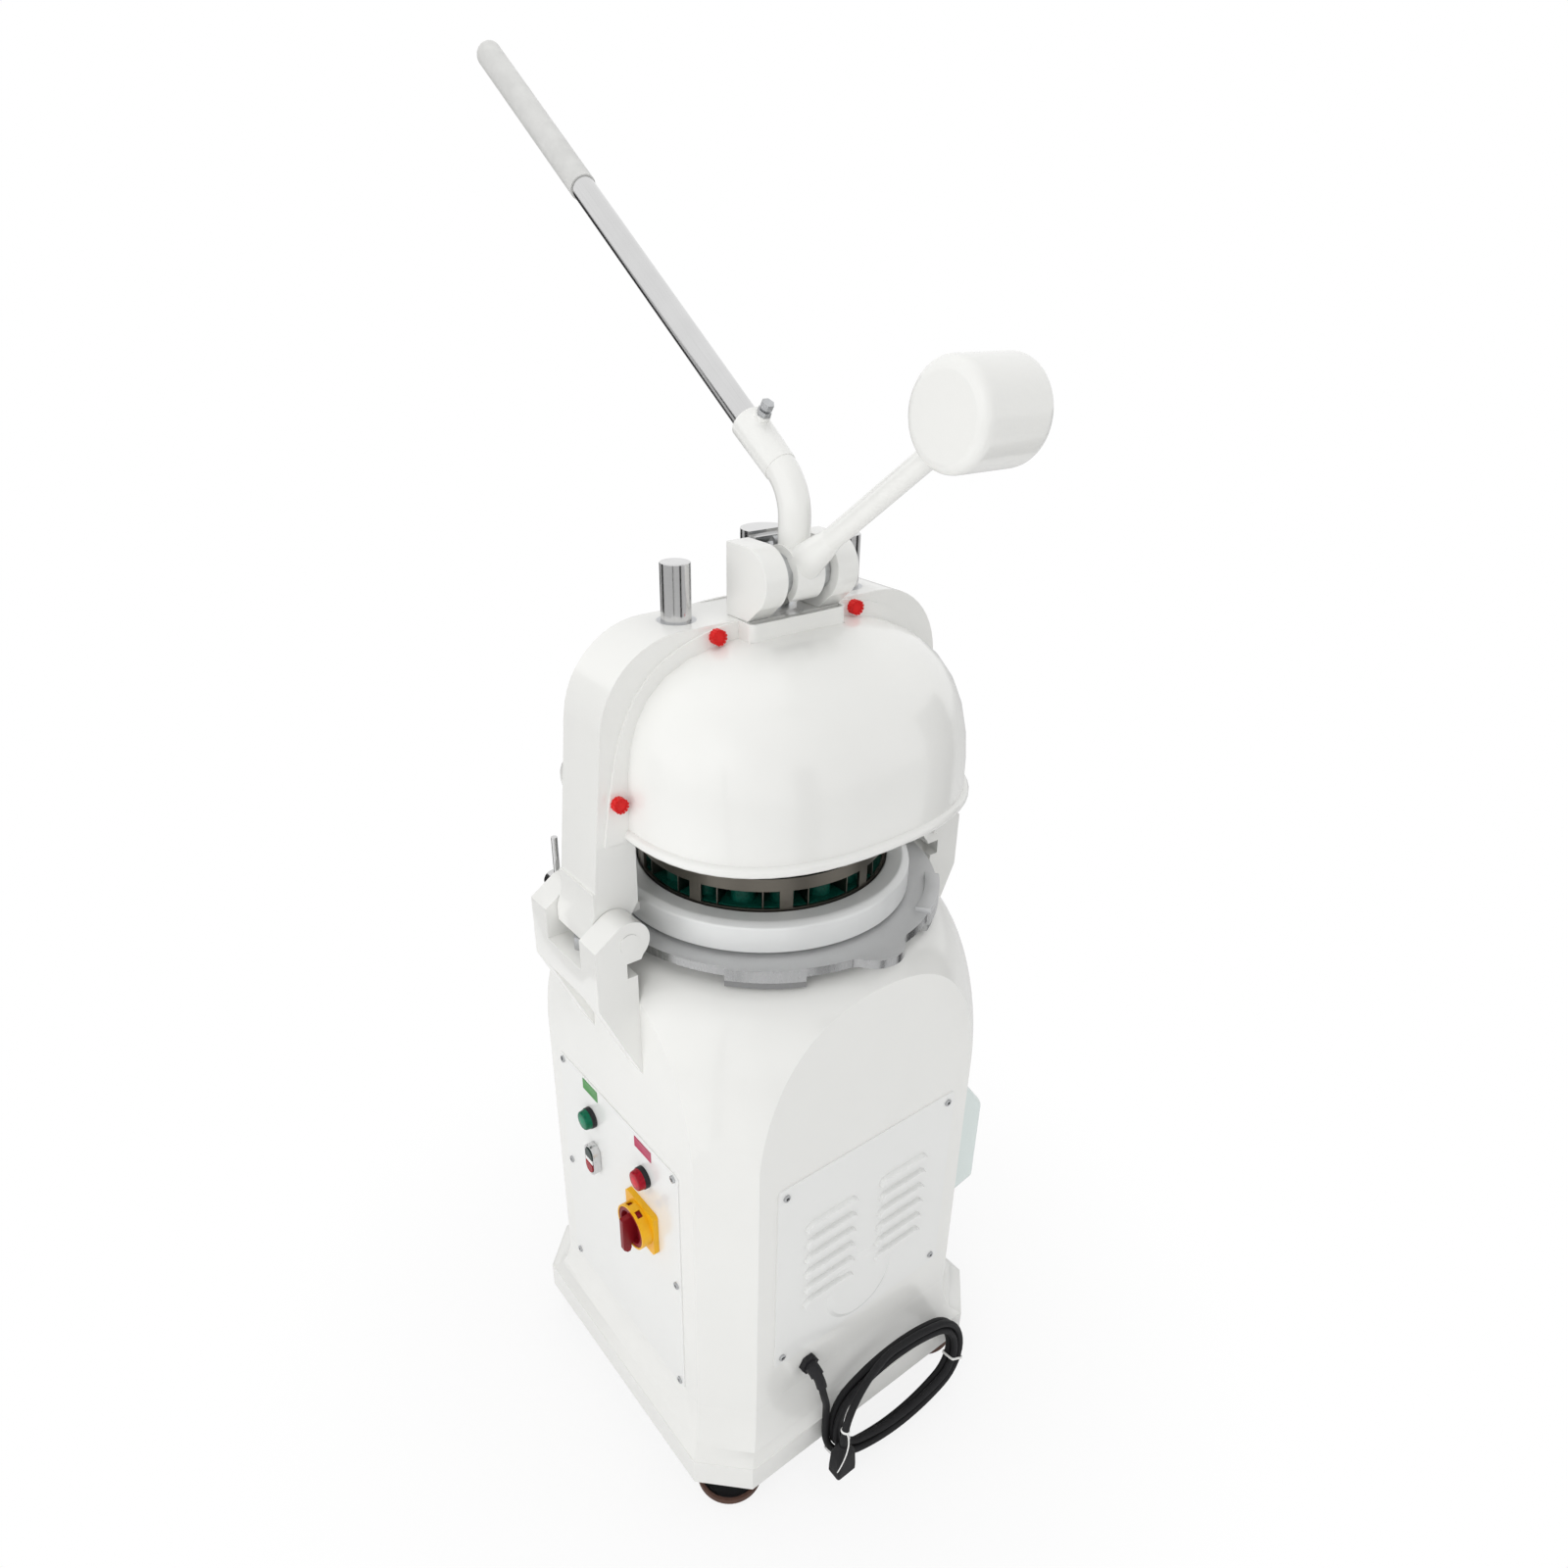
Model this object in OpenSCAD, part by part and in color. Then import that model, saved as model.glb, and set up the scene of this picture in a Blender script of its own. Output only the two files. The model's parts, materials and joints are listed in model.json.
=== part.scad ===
// Dough divider rounder with a hand lever, a tilting dividing head and an orbiting rounding table.
// +Z is up, the floor is z = 0, the vent panel faces -Y and the control panel faces -X.

/* [Base] */
// How far the plinth stands out beyond each side of the pedestal
plinth_ledge = 28.5; // [20:0.5:40]
// Length of each 45 degree corner cut of the plinth, along the side
plinth_cut = 66; // [50:1:80]
// Height of the upright lip at the bottom of the plinth
lip_h = 50; // [40:1:60]
// Height of the hollow-curved apron between lip and pedestal
apron_h = 82; // [70:1:90]
// Height of the plinth above the floor
foot_h = 70; // [55:1:85]
// Diameter of a foot pad
foot_d = 108; // [90:1:120]
// Distance of the feet from the edges of the base
foot_inset = 78; // [72:1:95]
// Diameter of the foot studs
stud_d = 20; // [14:1:24]

/* [Pedestal] */
// Width of the pedestal across its flats
body_w = 543; // [520:1:560]
// Length of each corner cut of the pedestal, along the side
body_cut = 65; // [50:1:76]
// Height of the pedestal from the plinth to its flat top
pedestal_h = 736; // [720:1:770]
// Height of the domed upper part
dome_h = 268; // [240:1:275]
// How far the dome draws in from its widest ring to the flat top
dome_run = 108; // [95:1:120]
// Thickness of the pedestal wall
shell_wall = 4; // [3:0.5:6]

/* [Panels] */
// Thickness of the screwed-on panels
panel_t = 2; // [1.5:0.5:3]
// Width of the control panel
control_w = 344; // [320:1:360]
// Height of the control panel
control_h = 453; // [440:1:460]
// Width of the vent panel
vent_w = 348; // [330:1:360]
// Height of the vent panel
vent_h = 370; // [350:1:385]
// Height of the vent panel's lower edge above the plinth top
vent_rise = 78; // [60:1:90]
// Length of a louvre
louvre_l = 100; // [80:1:110]
// Upright distance between louvres
louvre_pitch = 32; // [28:1:36]
// Diameter of the panel screw heads
screw_d = 11.5; // [9:0.5:13]

/* [Brackets] */
// Distance of each bracket pin from the side of the pedestal
pin_reach = 10.5; // [6:0.5:16]
// Height of the bracket pins above the pedestal top
pin_rise = 67; // [66:1:75]
// Diameter of the bracket pins
pin_d = 28; // [22:1:30]
// Distance between the inner faces of a bracket's ears
ear_gap = 92; // [92:1:104]
// Thickness of an ear
ear_t = 42; // [34:1:46]
// Radius of the rounded ear nose
nose_r = 31; // [28:1:33]

/* [Yoke] */
// Depth of the yoke, front to back
yoke_depth = 90; // [80:1:90]
// Height of the yoke top above the pins
yoke_rise = 383; // [370:1:400]
// Width of a leg, side to side
leg_w = 66; // [62:1:70]
// Depth of the top beam
beam_h = 68; // [55:1:80]
// Radius of the outer bend between leg and beam
bend_r = 118; // [100:1:130]

/* [Lever] */
// Forward distance of the lever shaft from the middle
shaft_y = 58; // [58:0.5:60]
// Height of the lever shaft above the yoke top
shaft_rise = 52; // [48:1:60]
// Diameter of the lever shaft
shaft_d = 30; // [24:1:34]
// Module of the pinion and rack
gear_module = 4; // [3.8:0.1:4.1]
// Number of teeth of the full pinion circle
gear_teeth = 23; // [22:1:23]
// Diameter of the lever neck
neck_d = 41; // [36:1:44]
// Diameter of the lever tube
tube_d = 34; // [28:1:36]
// Free length of the lever tube above its socket
tube_l = 790; // [600:5:850]
// Length of the grip sleeve
grip_l = 320; // [250:5:400]
// Upward slope of the lever tube at rest, in degrees
tube_slope = 34.6; // [30:0.2:40]
// Upward slope of the counterweight arm at rest, in degrees
arm_slope = 37.5; // [30:0.5:40]
// Length of the counterweight arm from shaft to weight centre
arm_l = 359; // [330:1:390]
// Diameter of the counterweight
weight_d = 112; // [100:1:126]
// Length of the counterweight
weight_l = 104; // [90:1:120]

/* [Dividing head] */
// Outer radius of the knife drum
drum_r = 182; // [176:1:184]
// Thickness of the drum wall
drum_wall = 4; // [3:0.5:5]
// Height of the drum
drum_h = 52; // [48:1:56]
// Thickness of the knife blades
blade_t = 1.6; // [1.2:0.2:2.4]
// Clearance between pistons and blades
piston_gap = 0.8; // [0.6:0.1:1.2]
// Diameter of the guide rods
rod_d = 39; // [34:1:42]
// Distance of each guide rod from the middle
rod_x = 140; // [136:1:146]
// Height of the guide rods above the yoke top
rod_rise = 73; // [60:1:85]
// Diameter of the press ram
ram_d = 66; // [62:1:68]
// Height of the ram above the yoke top
ram_rise = 97; // [94:1:100]
// Outer radius of the press ring
ring_r = 218; // [214:1:222]
// Height of the press ring
ring_h = 44; // [40:1:50]

/* [Rounding table] */
// Radius of the rounding table
table_r = 255; // [245:1:257]
// Thickness of the table rim
table_t = 13; // [10:1:16]
// Height of the table's lugs
lug_h = 29; // [27:1:32]
// Throw of the eccentric that swings the table
orbit_r = 10; // [6:0.5:12]

/* [Controls] */
// Diameter of the pilot lamps
lamp_d = 35; // [30:1:37]
// Width of the square isolator plate
isolator_w = 78; // [76:1:84]
// Diameter of the isolator collar
collar_d = 72; // [64:1:74]
// Height of the double push button
button_h = 58; // [54:1:62]
// Width of the double push button
button_w = 31; // [28:1:34]

/* [Mains cord] */
// Diameter of the mains cord
cord_d = 12; // [9:0.5:13]
// Half the length of the oval coil, along the pedestal
coil_a = 154; // [140:1:165]
// Half the height of the oval coil
coil_b = 86; // [80:1:92]
// Turns in each of the two layers of the coil
coil_turns = 2; // [2:1:2]

/* [Hidden] */
$fn = 72;
run_gap = 0.05;
face_gap = 0.4;
eps = 0.01;

// Heights from the floor up
plinth_top = foot_h + lip_h + apron_h;
body_top = plinth_top + pedestal_h;
lug_gap = 4;
table_top = body_top + lug_gap + lug_h;
ring_gap = 5;
ring_z = table_top + ring_gap;
ring_top = ring_z + ring_h;
pin_z = body_top + pin_rise;
yoke_top = pin_z + yoke_rise;
shaft_z = yoke_top + shaft_rise;
pitch_r = gear_module * gear_teeth / 2;
lever_swing = 52;
stroke = pitch_r * lever_swing * PI / 180;
knife_clear = 3.3;
knife_z = table_top + knife_clear + stroke;
drum_top = knife_z + drum_h;
piston_rest = 1;
piston_lift = stroke / 2;
plate_z = drum_top + 5;
plate_t = 12;
crosshead_z = plate_z + plate_t + piston_lift + 4;
crosshead_t = 22;
half_body = body_w / 2;
plinth_w = body_w + 2 * plinth_ledge;
foot_at = plinth_w / 2 - foot_inset;
half_plinth = plinth_w / 2;

// The table's lobes reach a little past the pedestal, and the pins stand clear of them
lobe_out = 25;
lobe_over = 8.5;
pin_x = max(half_body, table_r + lobe_out - lobe_over) + pin_reach;
half_yoke = yoke_depth / 2;

// Shared shapes

// Points of an arc from angle a to angle b
function arc(c, r, a, b, n = 8) =
  [for (i = [0 : n]) let (t = a + (b - a) * i / n) [c[0] + r * cos(t), c[1] + r * sin(t)]];

// A square with its corners cut, drawn about the origin
function cut_square(w, cut) =
  let (h = w / 2, k = w / 2 - cut)
  [[h, -k], [h, k], [k, h], [-k, h], [-h, k], [-h, -k], [-k, -h], [k, -h]];

// A rectangle with round corners, centred
module soft_rect(w, h, r) {
  translate([-w / 2 + r, -h / 2]) square([w - 2 * r, h]);
  translate([-w / 2, -h / 2 + r]) square([w, h - 2 * r]);
  for (x = [-1, 1], y = [-1, 1]) translate([x * (w / 2 - r), y * (h / 2 - r)]) circle(r);
}

// A long oval with round ends along X, centred
module stadium(w, h) {
  square([w - h, h], center = true);
  for (x = [-1, 1]) translate([x * (w - h) / 2, 0]) circle(h / 2);
}

// Stands a flat outline up on the -Y side, drawn in X and Z, thick towards -Y
module on_front(y, t) {
  translate([0, y, 0]) rotate([90, 0, 0]) linear_extrude(t) children();
}

// Stands a flat outline up on the -X side, drawn in Y and Z, thick towards -X
module on_left(x, t) {
  translate([x - t, 0, 0]) rotate([90, 0, 90]) linear_extrude(t) children();
}

// A bar along X between two places
module bar_x(x0, x1, r) {
  translate([x0, 0, 0]) rotate([0, 90, 0]) cylinder(h = x1 - x0, r = r);
}

// A bar along Y between two places
module bar_y(y0, y1, r) {
  translate([0, y0, 0]) rotate([-90, 0, 0]) cylinder(h = y1 - y0, r = r);
}

// Base

// Bolt-down feet stand under the four corners
module each_foot() {
  for (x = [-1, 1], y = [-1, 1]) translate([x * foot_at, y * foot_at, 0]) children();
}

foot_plate_t = 6;
apron_steps = 7;

// Widths of the apron from its foot on the lip up to the pedestal, a quarter of a hollow oval
function apron_w(i) = let (t = i / apron_steps)
  body_w + (plinth_w - body_w) * (1 - sqrt(1 - (1 - t) * (1 - t)));
function apron_cut(i) = body_cut + (plinth_cut - body_cut) * (1 - i / apron_steps);

module apron() {
  rings = [for (i = [0 : apron_steps]) for (p = cut_square(apron_w(i), apron_cut(i)))
    [p[0], p[1], foot_h + lip_h - 1 + (apron_h + 1) * i / apron_steps]];
  sides = [for (i = [0 : apron_steps - 1], k = [0 : 7])
    let (p = i * 8 + k, q = i * 8 + (k + 1) % 8) each [[p, p + 8, q], [q, p + 8, q + 8]]];
  caps = [for (k = [1 : 6]) each [[0, k, k + 1], [8 * apron_steps, 8 * apron_steps + k + 1, 8 * apron_steps + k]]];
  polyhedron(rings, concat(sides, caps));
}

module base_plinth() {
  inner = plinth_w - 2 * shell_wall;
  color("whitesmoke") difference() {
    union() {
      translate([0, 0, foot_h]) linear_extrude(lip_h) polygon(cut_square(plinth_w, plinth_cut));
      apron();
    }
    translate([0, 0, foot_h + foot_plate_t])
      linear_extrude(lip_h - foot_plate_t - 6) polygon(cut_square(inner, plinth_cut));
    translate([0, 0, foot_h + lip_h - 12])
      linear_extrude(apron_h + 14) polygon(cut_square(body_w - 40, body_cut));
    each_foot() translate([0, 0, foot_h - 1]) cylinder(h = foot_plate_t + 2, d = stud_d);
  }
}

pad_t = 18;
module foot_pads() {
  color("#1d1a19") each_foot() difference() {
    rotate_extrude() polygon([[0, 0], [foot_d / 2 - 4, 0], [foot_d / 2, 5], [foot_d / 2, 15],
      [foot_d / 2 - 5, 15], [foot_d / 2 - 10, 7], [stud_d / 2 + 8, 7], [stud_d / 2 + 6, pad_t], [0, pad_t]]);
    translate([0, 0, pad_t - 12]) cylinder(h = 13, d = stud_d);
  }
}

nut_t = 14;
module foot_studs() {
  color("silver") each_foot() {
    translate([0, 0, pad_t - 12]) cylinder(h = foot_h + foot_plate_t + 14 - pad_t + 12, d = stud_d);
    for (z = [pad_t, foot_h - nut_t, foot_h + foot_plate_t]) translate([0, 0, z]) difference() {
      cylinder(h = nut_t, d = stud_d * 1.7, $fn = 6);
      translate([0, 0, -1]) cylinder(h = nut_t + 2, d = stud_d - 1);
    }
  }
}

// Pedestal

// Radius of the widest ring of the dome, at the corners of the pedestal
function corner_r(w, cut) = norm([w / 2, w / 2 - cut]);

module dome_solid(inset) {
  wide = corner_r(body_w, body_cut) + 1 - inset;
  spring = body_top - dome_h;
  steps = 18;
  crown = [for (i = [0 : steps]) let (t = 90 * i / steps)
    [wide - dome_run + dome_run * cos(t), spring + (dome_h - inset) * sin(t)]];
  rotate_extrude($fn = 120)
    polygon(concat([[0, plinth_top - 1], [wide, plinth_top - 1]], crown, [[0, body_top - inset]]));
}

module pedestal_form(inset) {
  intersection() {
    translate([0, 0, plinth_top])
      linear_extrude(pedestal_h) polygon(cut_square(body_w - 2 * inset, body_cut - inset * 0.586));
    dome_solid(inset);
  }
}

opening_edge = 24;
control_z = plinth_top + control_h / 2 + 1.5;
vent_z = plinth_top + vent_rise + vent_h / 2;
housing_d = 118;
module pedestal_shell() {
  color("whitesmoke") difference() {
    pedestal_form(0);
    pedestal_form(shell_wall);
    translate([0, 0, plinth_top - 1]) linear_extrude(shell_wall + 2)
      polygon(cut_square(body_w - 2 * shell_wall, body_cut - shell_wall * 0.586));
    translate([-half_body - 1, -control_w / 2 + opening_edge, control_z - control_h / 2 + opening_edge])
      cube([shell_wall + 2, control_w - 2 * opening_edge, control_h - 2 * opening_edge]);
    translate([-vent_w / 2 + opening_edge, -half_body - 1, vent_z - vent_h / 2 + opening_edge])
      cube([vent_w - 2 * opening_edge, shell_wall + 2, vent_h - 2 * opening_edge]);
    translate([0, 0, body_top - shell_wall - 1]) cylinder(h = shell_wall + 2, d = housing_d);
    translate([gland_x, -half_body - 1, gland_z]) rotate([-90, 0, 0])
      cylinder(h = shell_wall + 2, d = gland_d);
  }
}

// Panels

lamp_y = 75;
lamp_z = foot_h + 517;
red_y = -81;
isolator_y = -75;
isolator_z = foot_h + 424;
button_y = 70;
button_z = foot_h + 437;
module control_panel() {
  color("white") difference() {
    on_left(-half_body, panel_t) translate([0, control_z]) soft_rect(control_w, control_h, 8);
    for (y = [lamp_y, red_y]) translate([-half_body - panel_t - 1, y, lamp_z])
      bar_x(0, panel_t + 2, 11);
    translate([-half_body - panel_t - 1, isolator_y, isolator_z]) bar_x(0, panel_t + 2, 11);
    translate([-half_body - panel_t - 1, button_y, button_z]) bar_x(0, panel_t + 2, 11);
  }
}

louvre_rows = 6;
louvre_h = 13;
dish_d = 132;
dish_x = -6;
dish_z = vent_z - 113;
dish_out = 2;
louvre_out = 7;
function louvre_place(col, row) =
  [col * (louvre_l / 2 + 22.5), vent_z + vent_h / 2 - 107 - row * louvre_pitch];

// A louvre is a long bubble, open along its lower edge
module louvre_bubble(out, h) {
  intersection() {
    translate([-louvre_l, -out, 0]) cube([2 * louvre_l, out, h]);
    union() {
      bar_x(-louvre_l / 2 + h, louvre_l / 2 - h, h);
      for (x = [-1, 1]) translate([x * (louvre_l / 2 - h), 0, 0]) sphere(h);
    }
  }
}

module vent_panel() {
  face = -half_body - panel_t;
  color("white") difference() {
    union() {
      on_front(-half_body, panel_t) translate([0, vent_z]) soft_rect(vent_w, vent_h, 8);
      for (col = [-1, 1], row = [0 : louvre_rows - 1]) let (p = louvre_place(col, row))
        translate([p[0], face + eps, p[1]]) louvre_bubble(louvre_out, louvre_h);
      translate([dish_x, face, dish_z]) rotate([90, 0, 0])
        cylinder(h = dish_out, d1 = dish_d, d2 = dish_d - 14);
    }
    for (col = [-1, 1], row = [0 : louvre_rows - 1]) let (p = louvre_place(col, row))
      translate([p[0], face + eps, p[1] - 1.2])
        louvre_bubble(louvre_out - 1.6, louvre_h - 1.6);
    for (col = [-1, 1], row = [0 : louvre_rows - 1]) let (p = louvre_place(col, row))
      translate([p[0] - louvre_l / 2 + louvre_h, face - eps, p[1] + 0.4])
        cube([louvre_l - 2 * louvre_h, panel_t + 1, 6]);
    translate([dish_x, -half_body + 1, dish_z]) rotate([90, 0, 0])
      cylinder(h = dish_out + 1, d1 = dish_d - 4, d2 = dish_d - 18);
  }
}

screw_h = 2.4;
module panel_screws() {
  color("silver") {
    for (y = [-1, 1], z = [-1, 0, 1])
      translate([-half_body - panel_t, y * (control_w / 2 - 12), control_z + z * (control_h / 2 - 10)])
        rotate([0, -90, 0]) cylinder(h = screw_h, d1 = screw_d, d2 = screw_d - 3);
    for (x = [-1, 1], z = [-1, 1])
      translate([x * (vent_w / 2 - 14), -half_body - panel_t, vent_z + z * (vent_h / 2 - 17)])
        rotate([90, 0, 0]) cylinder(h = screw_h, d1 = screw_d, d2 = screw_d - 3);
  }
}

// Brackets and pins

bracket_out = 50;
bracket_foot = 87;
gusset_h = 134;
bracket_floor = pin_z - 43;
notch_r = table_r + lobe_out + orbit_r + 10;

// Side outline of an ear in X and Z, drawn for the right-hand side
module ear_outline() {
  outer = pin_x + bracket_out;
  tilt = 52;
  difference() {
    union() {
      translate([pin_x, pin_z]) circle(nose_r);
      polygon([[half_body, pin_z - bracket_foot - gusset_h], [half_body, bracket_floor],
        [pin_x - nose_r + 3, pin_z - 8], [pin_x, pin_z], [pin_x + nose_r * cos(tilt), pin_z + nose_r * sin(tilt)],
        [outer, pin_z + 3], [outer, pin_z - bracket_foot]]);
    }
    translate([pin_x, pin_z]) circle(pin_d / 2);
  }
}

// Web between the ears, below the floor of the slot
module web_outline() {
  outer = pin_x + bracket_out;
  polygon([[half_body, pin_z - bracket_foot - 50], [half_body, bracket_floor],
    [outer, bracket_floor], [outer, pin_z - bracket_foot]]);
}

// The notch lets the table swing past below the nose
module bracket() {
  ear_out = ear_gap / 2 + ear_t;
  color("whitesmoke") difference() {
    union() {
      for (y = [-ear_gap / 2, ear_out]) translate([0, y, 0]) rotate([90, 0, 0])
        linear_extrude(ear_t) ear_outline();
      translate([0, ear_gap / 2, 0]) rotate([90, 0, 0]) linear_extrude(ear_gap) web_outline();
    }
    translate([0, 0, table_top - table_t - 6]) cylinder(h = table_t + 10, r = notch_r);
  }
}

module right_bracket() { bracket(); }
module left_bracket() {
  difference() {
    mirror([1, 0, 0]) bracket();
    color("whitesmoke") translate([-stop_x, 0, bracket_floor - 24]) cylinder(h = 25, d = stop_d);
  }
}

pin_out = 7;
module hinge_pin() {
  reach = ear_gap / 2 + ear_t;
  color("silver") translate([pin_x, 0, pin_z]) bar_y(-reach - pin_out, reach + pin_out, pin_d / 2);
}

// The lock pin has two flats between the ears, which pass the leg's slot when the handle is upright
lock_flat = 16;
handle_out = 32;
handle_l = 73;
handle_d = 9;
module lock_pin() {
  reach = ear_gap / 2 + ear_t;
  r = pin_d / 2 - run_gap;
  color("silver") translate([-pin_x, 0, pin_z]) {
    difference() {
      bar_y(-reach - 1, reach + handle_out, r);
      for (x = [-1, 1]) translate([x * (lock_flat / 2 + pin_d / 2), 0, 0])
        cube([pin_d, ear_gap - 1, 2 * pin_d], center = true);
    }
    translate([0, reach + handle_out - 15, 0]) cylinder(h = handle_l, d = handle_d);
  }
}

stop_x = pin_x + 23;
stop_d = 12;
module stop_bolt() {
  heel = pin_z - leg_heel - face_gap;
  color("silver") translate([-stop_x, 0, 0]) {
    translate([0, 0, bracket_floor - 24]) cylinder(h = 25, d = stop_d);
    translate([0, 0, bracket_floor]) cylinder(h = heel - bracket_floor, d = 22, $fn = 6);
  }
}

// Pressed cover on the right-hand side, with a steeply sloped top
side_w = 398;
side_h = 290;
side_out = 75;
side_face_h = 188;
side_face_low = 8;
module side_cover() {
  color("#dfeeea") translate([half_body, 0, vent_z - 180]) rotate([0, 90, 0]) hull() {
    translate([-side_h / 2, 0, 0]) linear_extrude(4) soft_rect(side_h, side_w, 14, $fn = 24);
    translate([-side_face_low - side_face_h / 2, 0, side_out - 1]) linear_extrude(1)
      soft_rect(side_face_h, side_w - 6, 14, $fn = 24);
  }
}

// Drive

housing_h = 112;
housing_flange = 190;
pulley_gap = 10;
main_d = 40;
bearing_d = 90;
bearing_t = 20;
seat_t = 12;
housing_bottom = body_top - shell_wall - housing_h;
module bearing_housing() {
  color("gray") difference() {
    union() {
      translate([0, 0, housing_bottom]) cylinder(h = housing_h + shell_wall, d = housing_d);
      translate([0, 0, body_top - shell_wall - seat_t]) cylinder(h = seat_t, d = housing_flange);
    }
    translate([0, 0, housing_bottom - 1]) cylinder(h = housing_h + shell_wall + 2, d = bearing_d - 8);
    for (z = [housing_bottom - 1, body_top - bearing_t])
      translate([0, 0, z]) cylinder(h = bearing_t + 1, d = bearing_d);
  }
}

module shaft_bearings() {
  color("silver") for (z = [housing_bottom, body_top - bearing_t]) translate([0, 0, z]) difference() {
    cylinder(h = bearing_t, d = bearing_d);
    translate([0, 0, -1]) cylinder(h = bearing_t + 2, d = main_d + 2 * run_gap);
  }
}

pulley_h = 26;
pulley_z = housing_bottom - pulley_gap - pulley_h;
driven_d = 160;
motor_y = -128;
motor_pulley_d = 70;
groove = 9;

// V groove pulley about the upright axis, its bore fitted to its shaft
module v_pulley(d, bore) {
  difference() {
    rotate_extrude() polygon([[0, 0], [d / 2, 0], [d / 2, 5], [d / 2 - groove, pulley_h / 2 - 3],
      [d / 2 - groove, pulley_h / 2 + 3], [d / 2, pulley_h - 5], [d / 2, pulley_h], [0, pulley_h]]);
    translate([0, 0, -1]) cylinder(h = pulley_h + 2, d = bore);
  }
}

module driven_pulley() {
  color("dimgray") translate([0, 0, pulley_z]) difference() {
    v_pulley(driven_d, main_d);
    for (a = [0 : 60 : 300]) rotate([0, 0, a]) translate([driven_d / 4 + 6, 0, -1])
      cylinder(h = pulley_h + 2, d = 28);
  }
}

// Crank with the throw of the orbit on top, and a balance weight opposite
eccentric_d = 50;
cheek_t = 5;
eccentric_h = lug_gap + lug_h - table_t + 4;
cheek_r = 75;
cheek_w = 90;
module eccentric_shaft() {
  color("silver") {
    translate([0, 0, pulley_z]) cylinder(h = body_top + 2 - pulley_z, d = main_d);
    translate([0, 0, body_top + 1]) intersection() {
      cylinder(h = cheek_t, r = cheek_r);
      translate([-cheek_r, -cheek_w / 2, 0]) cube([cheek_r + orbit_r, cheek_w, cheek_t]);
    }
    translate([orbit_r, 0, body_top + 1]) cylinder(h = eccentric_h, d = eccentric_d);
  }
}

plate_deep = 170;
plate_front = 74.5;
motor_plate_t = 8;
motor_plate_z = pulley_z - 26;
module motor_plate() {
  inner = body_w - 2 * shell_wall;
  color("gray") difference() {
    intersection() {
      translate([-inner / 2, motor_y - plate_front, motor_plate_z])
        cube([inner, plate_deep, motor_plate_t]);
      pedestal_form(shell_wall + 0.1);
    }
    translate([0, motor_y, motor_plate_z - 1]) cylinder(h = motor_plate_t + 2, d = 60);
  }
}

motor_d = 156;
motor_h = 236;
module drive_motor() {
  color("#46627a") translate([0, motor_y, motor_plate_z]) {
    translate([0, 0, -12]) cylinder(h = 12, d = motor_d + 24);
    translate([0, 0, -motor_h]) difference() {
      cylinder(h = motor_h - 12, d = motor_d);
      for (a = [0 : 20 : 340]) rotate([0, 0, a]) translate([motor_d / 2 - 7, -3, 40])
        cube([10, 6, motor_h - 90]);
    }
    difference() {
      translate([0, 0, -eps]) cylinder(h = pulley_z - motor_plate_z - 4, d = 44);
      translate([0, 0, pulley_z - motor_plate_z - 4 - 18]) cylinder(h = 19, d = motor_shaft_d + 2 * run_gap);
    }
  }
}

motor_shaft_d = 24;
module motor_pulley() {
  color("dimgray") translate([0, motor_y, pulley_z]) {
    v_pulley(motor_pulley_d, motor_shaft_d);
    translate([0, 0, -20]) cylinder(h = pulley_h + 24, d = motor_shaft_d);
  }
}

// Belt round both pulleys, a constant gap outside the bottom of their grooves
belt_h = 5.4;
belt_t = 6;
function belt_line(extra) =
  let (r1 = driven_d / 2 - groove + face_gap + extra, r2 = motor_pulley_d / 2 - groove + face_gap + extra,
       a = asin((r1 - r2) / -motor_y))
  concat(arc([0, 0], r1, -a, 180 + a, 40), arc([0, motor_y], r2, 180 + a, 360 - a, 20));

module v_belt() {
  color("#222222") translate([0, 0, pulley_z + pulley_h / 2 - belt_h / 2]) linear_extrude(belt_h)
    difference() {
      polygon(belt_line(belt_t));
      polygon(belt_line(0));
    }
}

// Electrical parts

module contactor() {
  x = -half_body;
  color("#d8d8d2") {
    translate([x, 20, control_z - 60]) cube([12, 110, 35]);
    translate([x + 12, 30, control_z - 85]) cube([70, 45, 80]);
    translate([x + 12, 84, control_z - 85]) cube([58, 36, 72]);
  }
}

lamp_out = 18;
lens_seat = 8;
module lamp_at(y) {
  translate([-half_body - panel_t, y, lamp_z]) rotate([0, -90, 0]) children();
}

module lamp_bezels() {
  color("#26282a") for (y = [lamp_y, red_y]) lamp_at(y) difference() {
    union() {
      cylinder(h = lens_seat, d = lamp_d);
      translate([0, 0, -30]) cylinder(h = 30 + eps, d = 22);
    }
    translate([0, 0, lens_seat - 3]) cylinder(h = 4, d = lamp_d - 5);
  }
}

module lamp_lens() {
  r = lamp_d / 2;
  rotate_extrude() polygon(concat([[0, lens_seat - 3], [r - 2.5, lens_seat - 3], [r - 2.5, lens_seat],
    [r - 0.8, lens_seat]], arc([r - 5, lamp_out - 3], 3, 0, 90, 4), [[0, lamp_out + 1]]));
}

module green_lamp() { color("green") lamp_at(lamp_y) lamp_lens(); }
module red_lamp() { color("crimson") lamp_at(red_y) lamp_lens(); }

bezel_out = 13;

// Height of the fixed piece between the two caps
mid_h = 9;
module button_face() {
  translate([-half_body - panel_t, button_y, button_z]) rotate([0, -90, 0]) children();
}

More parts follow.
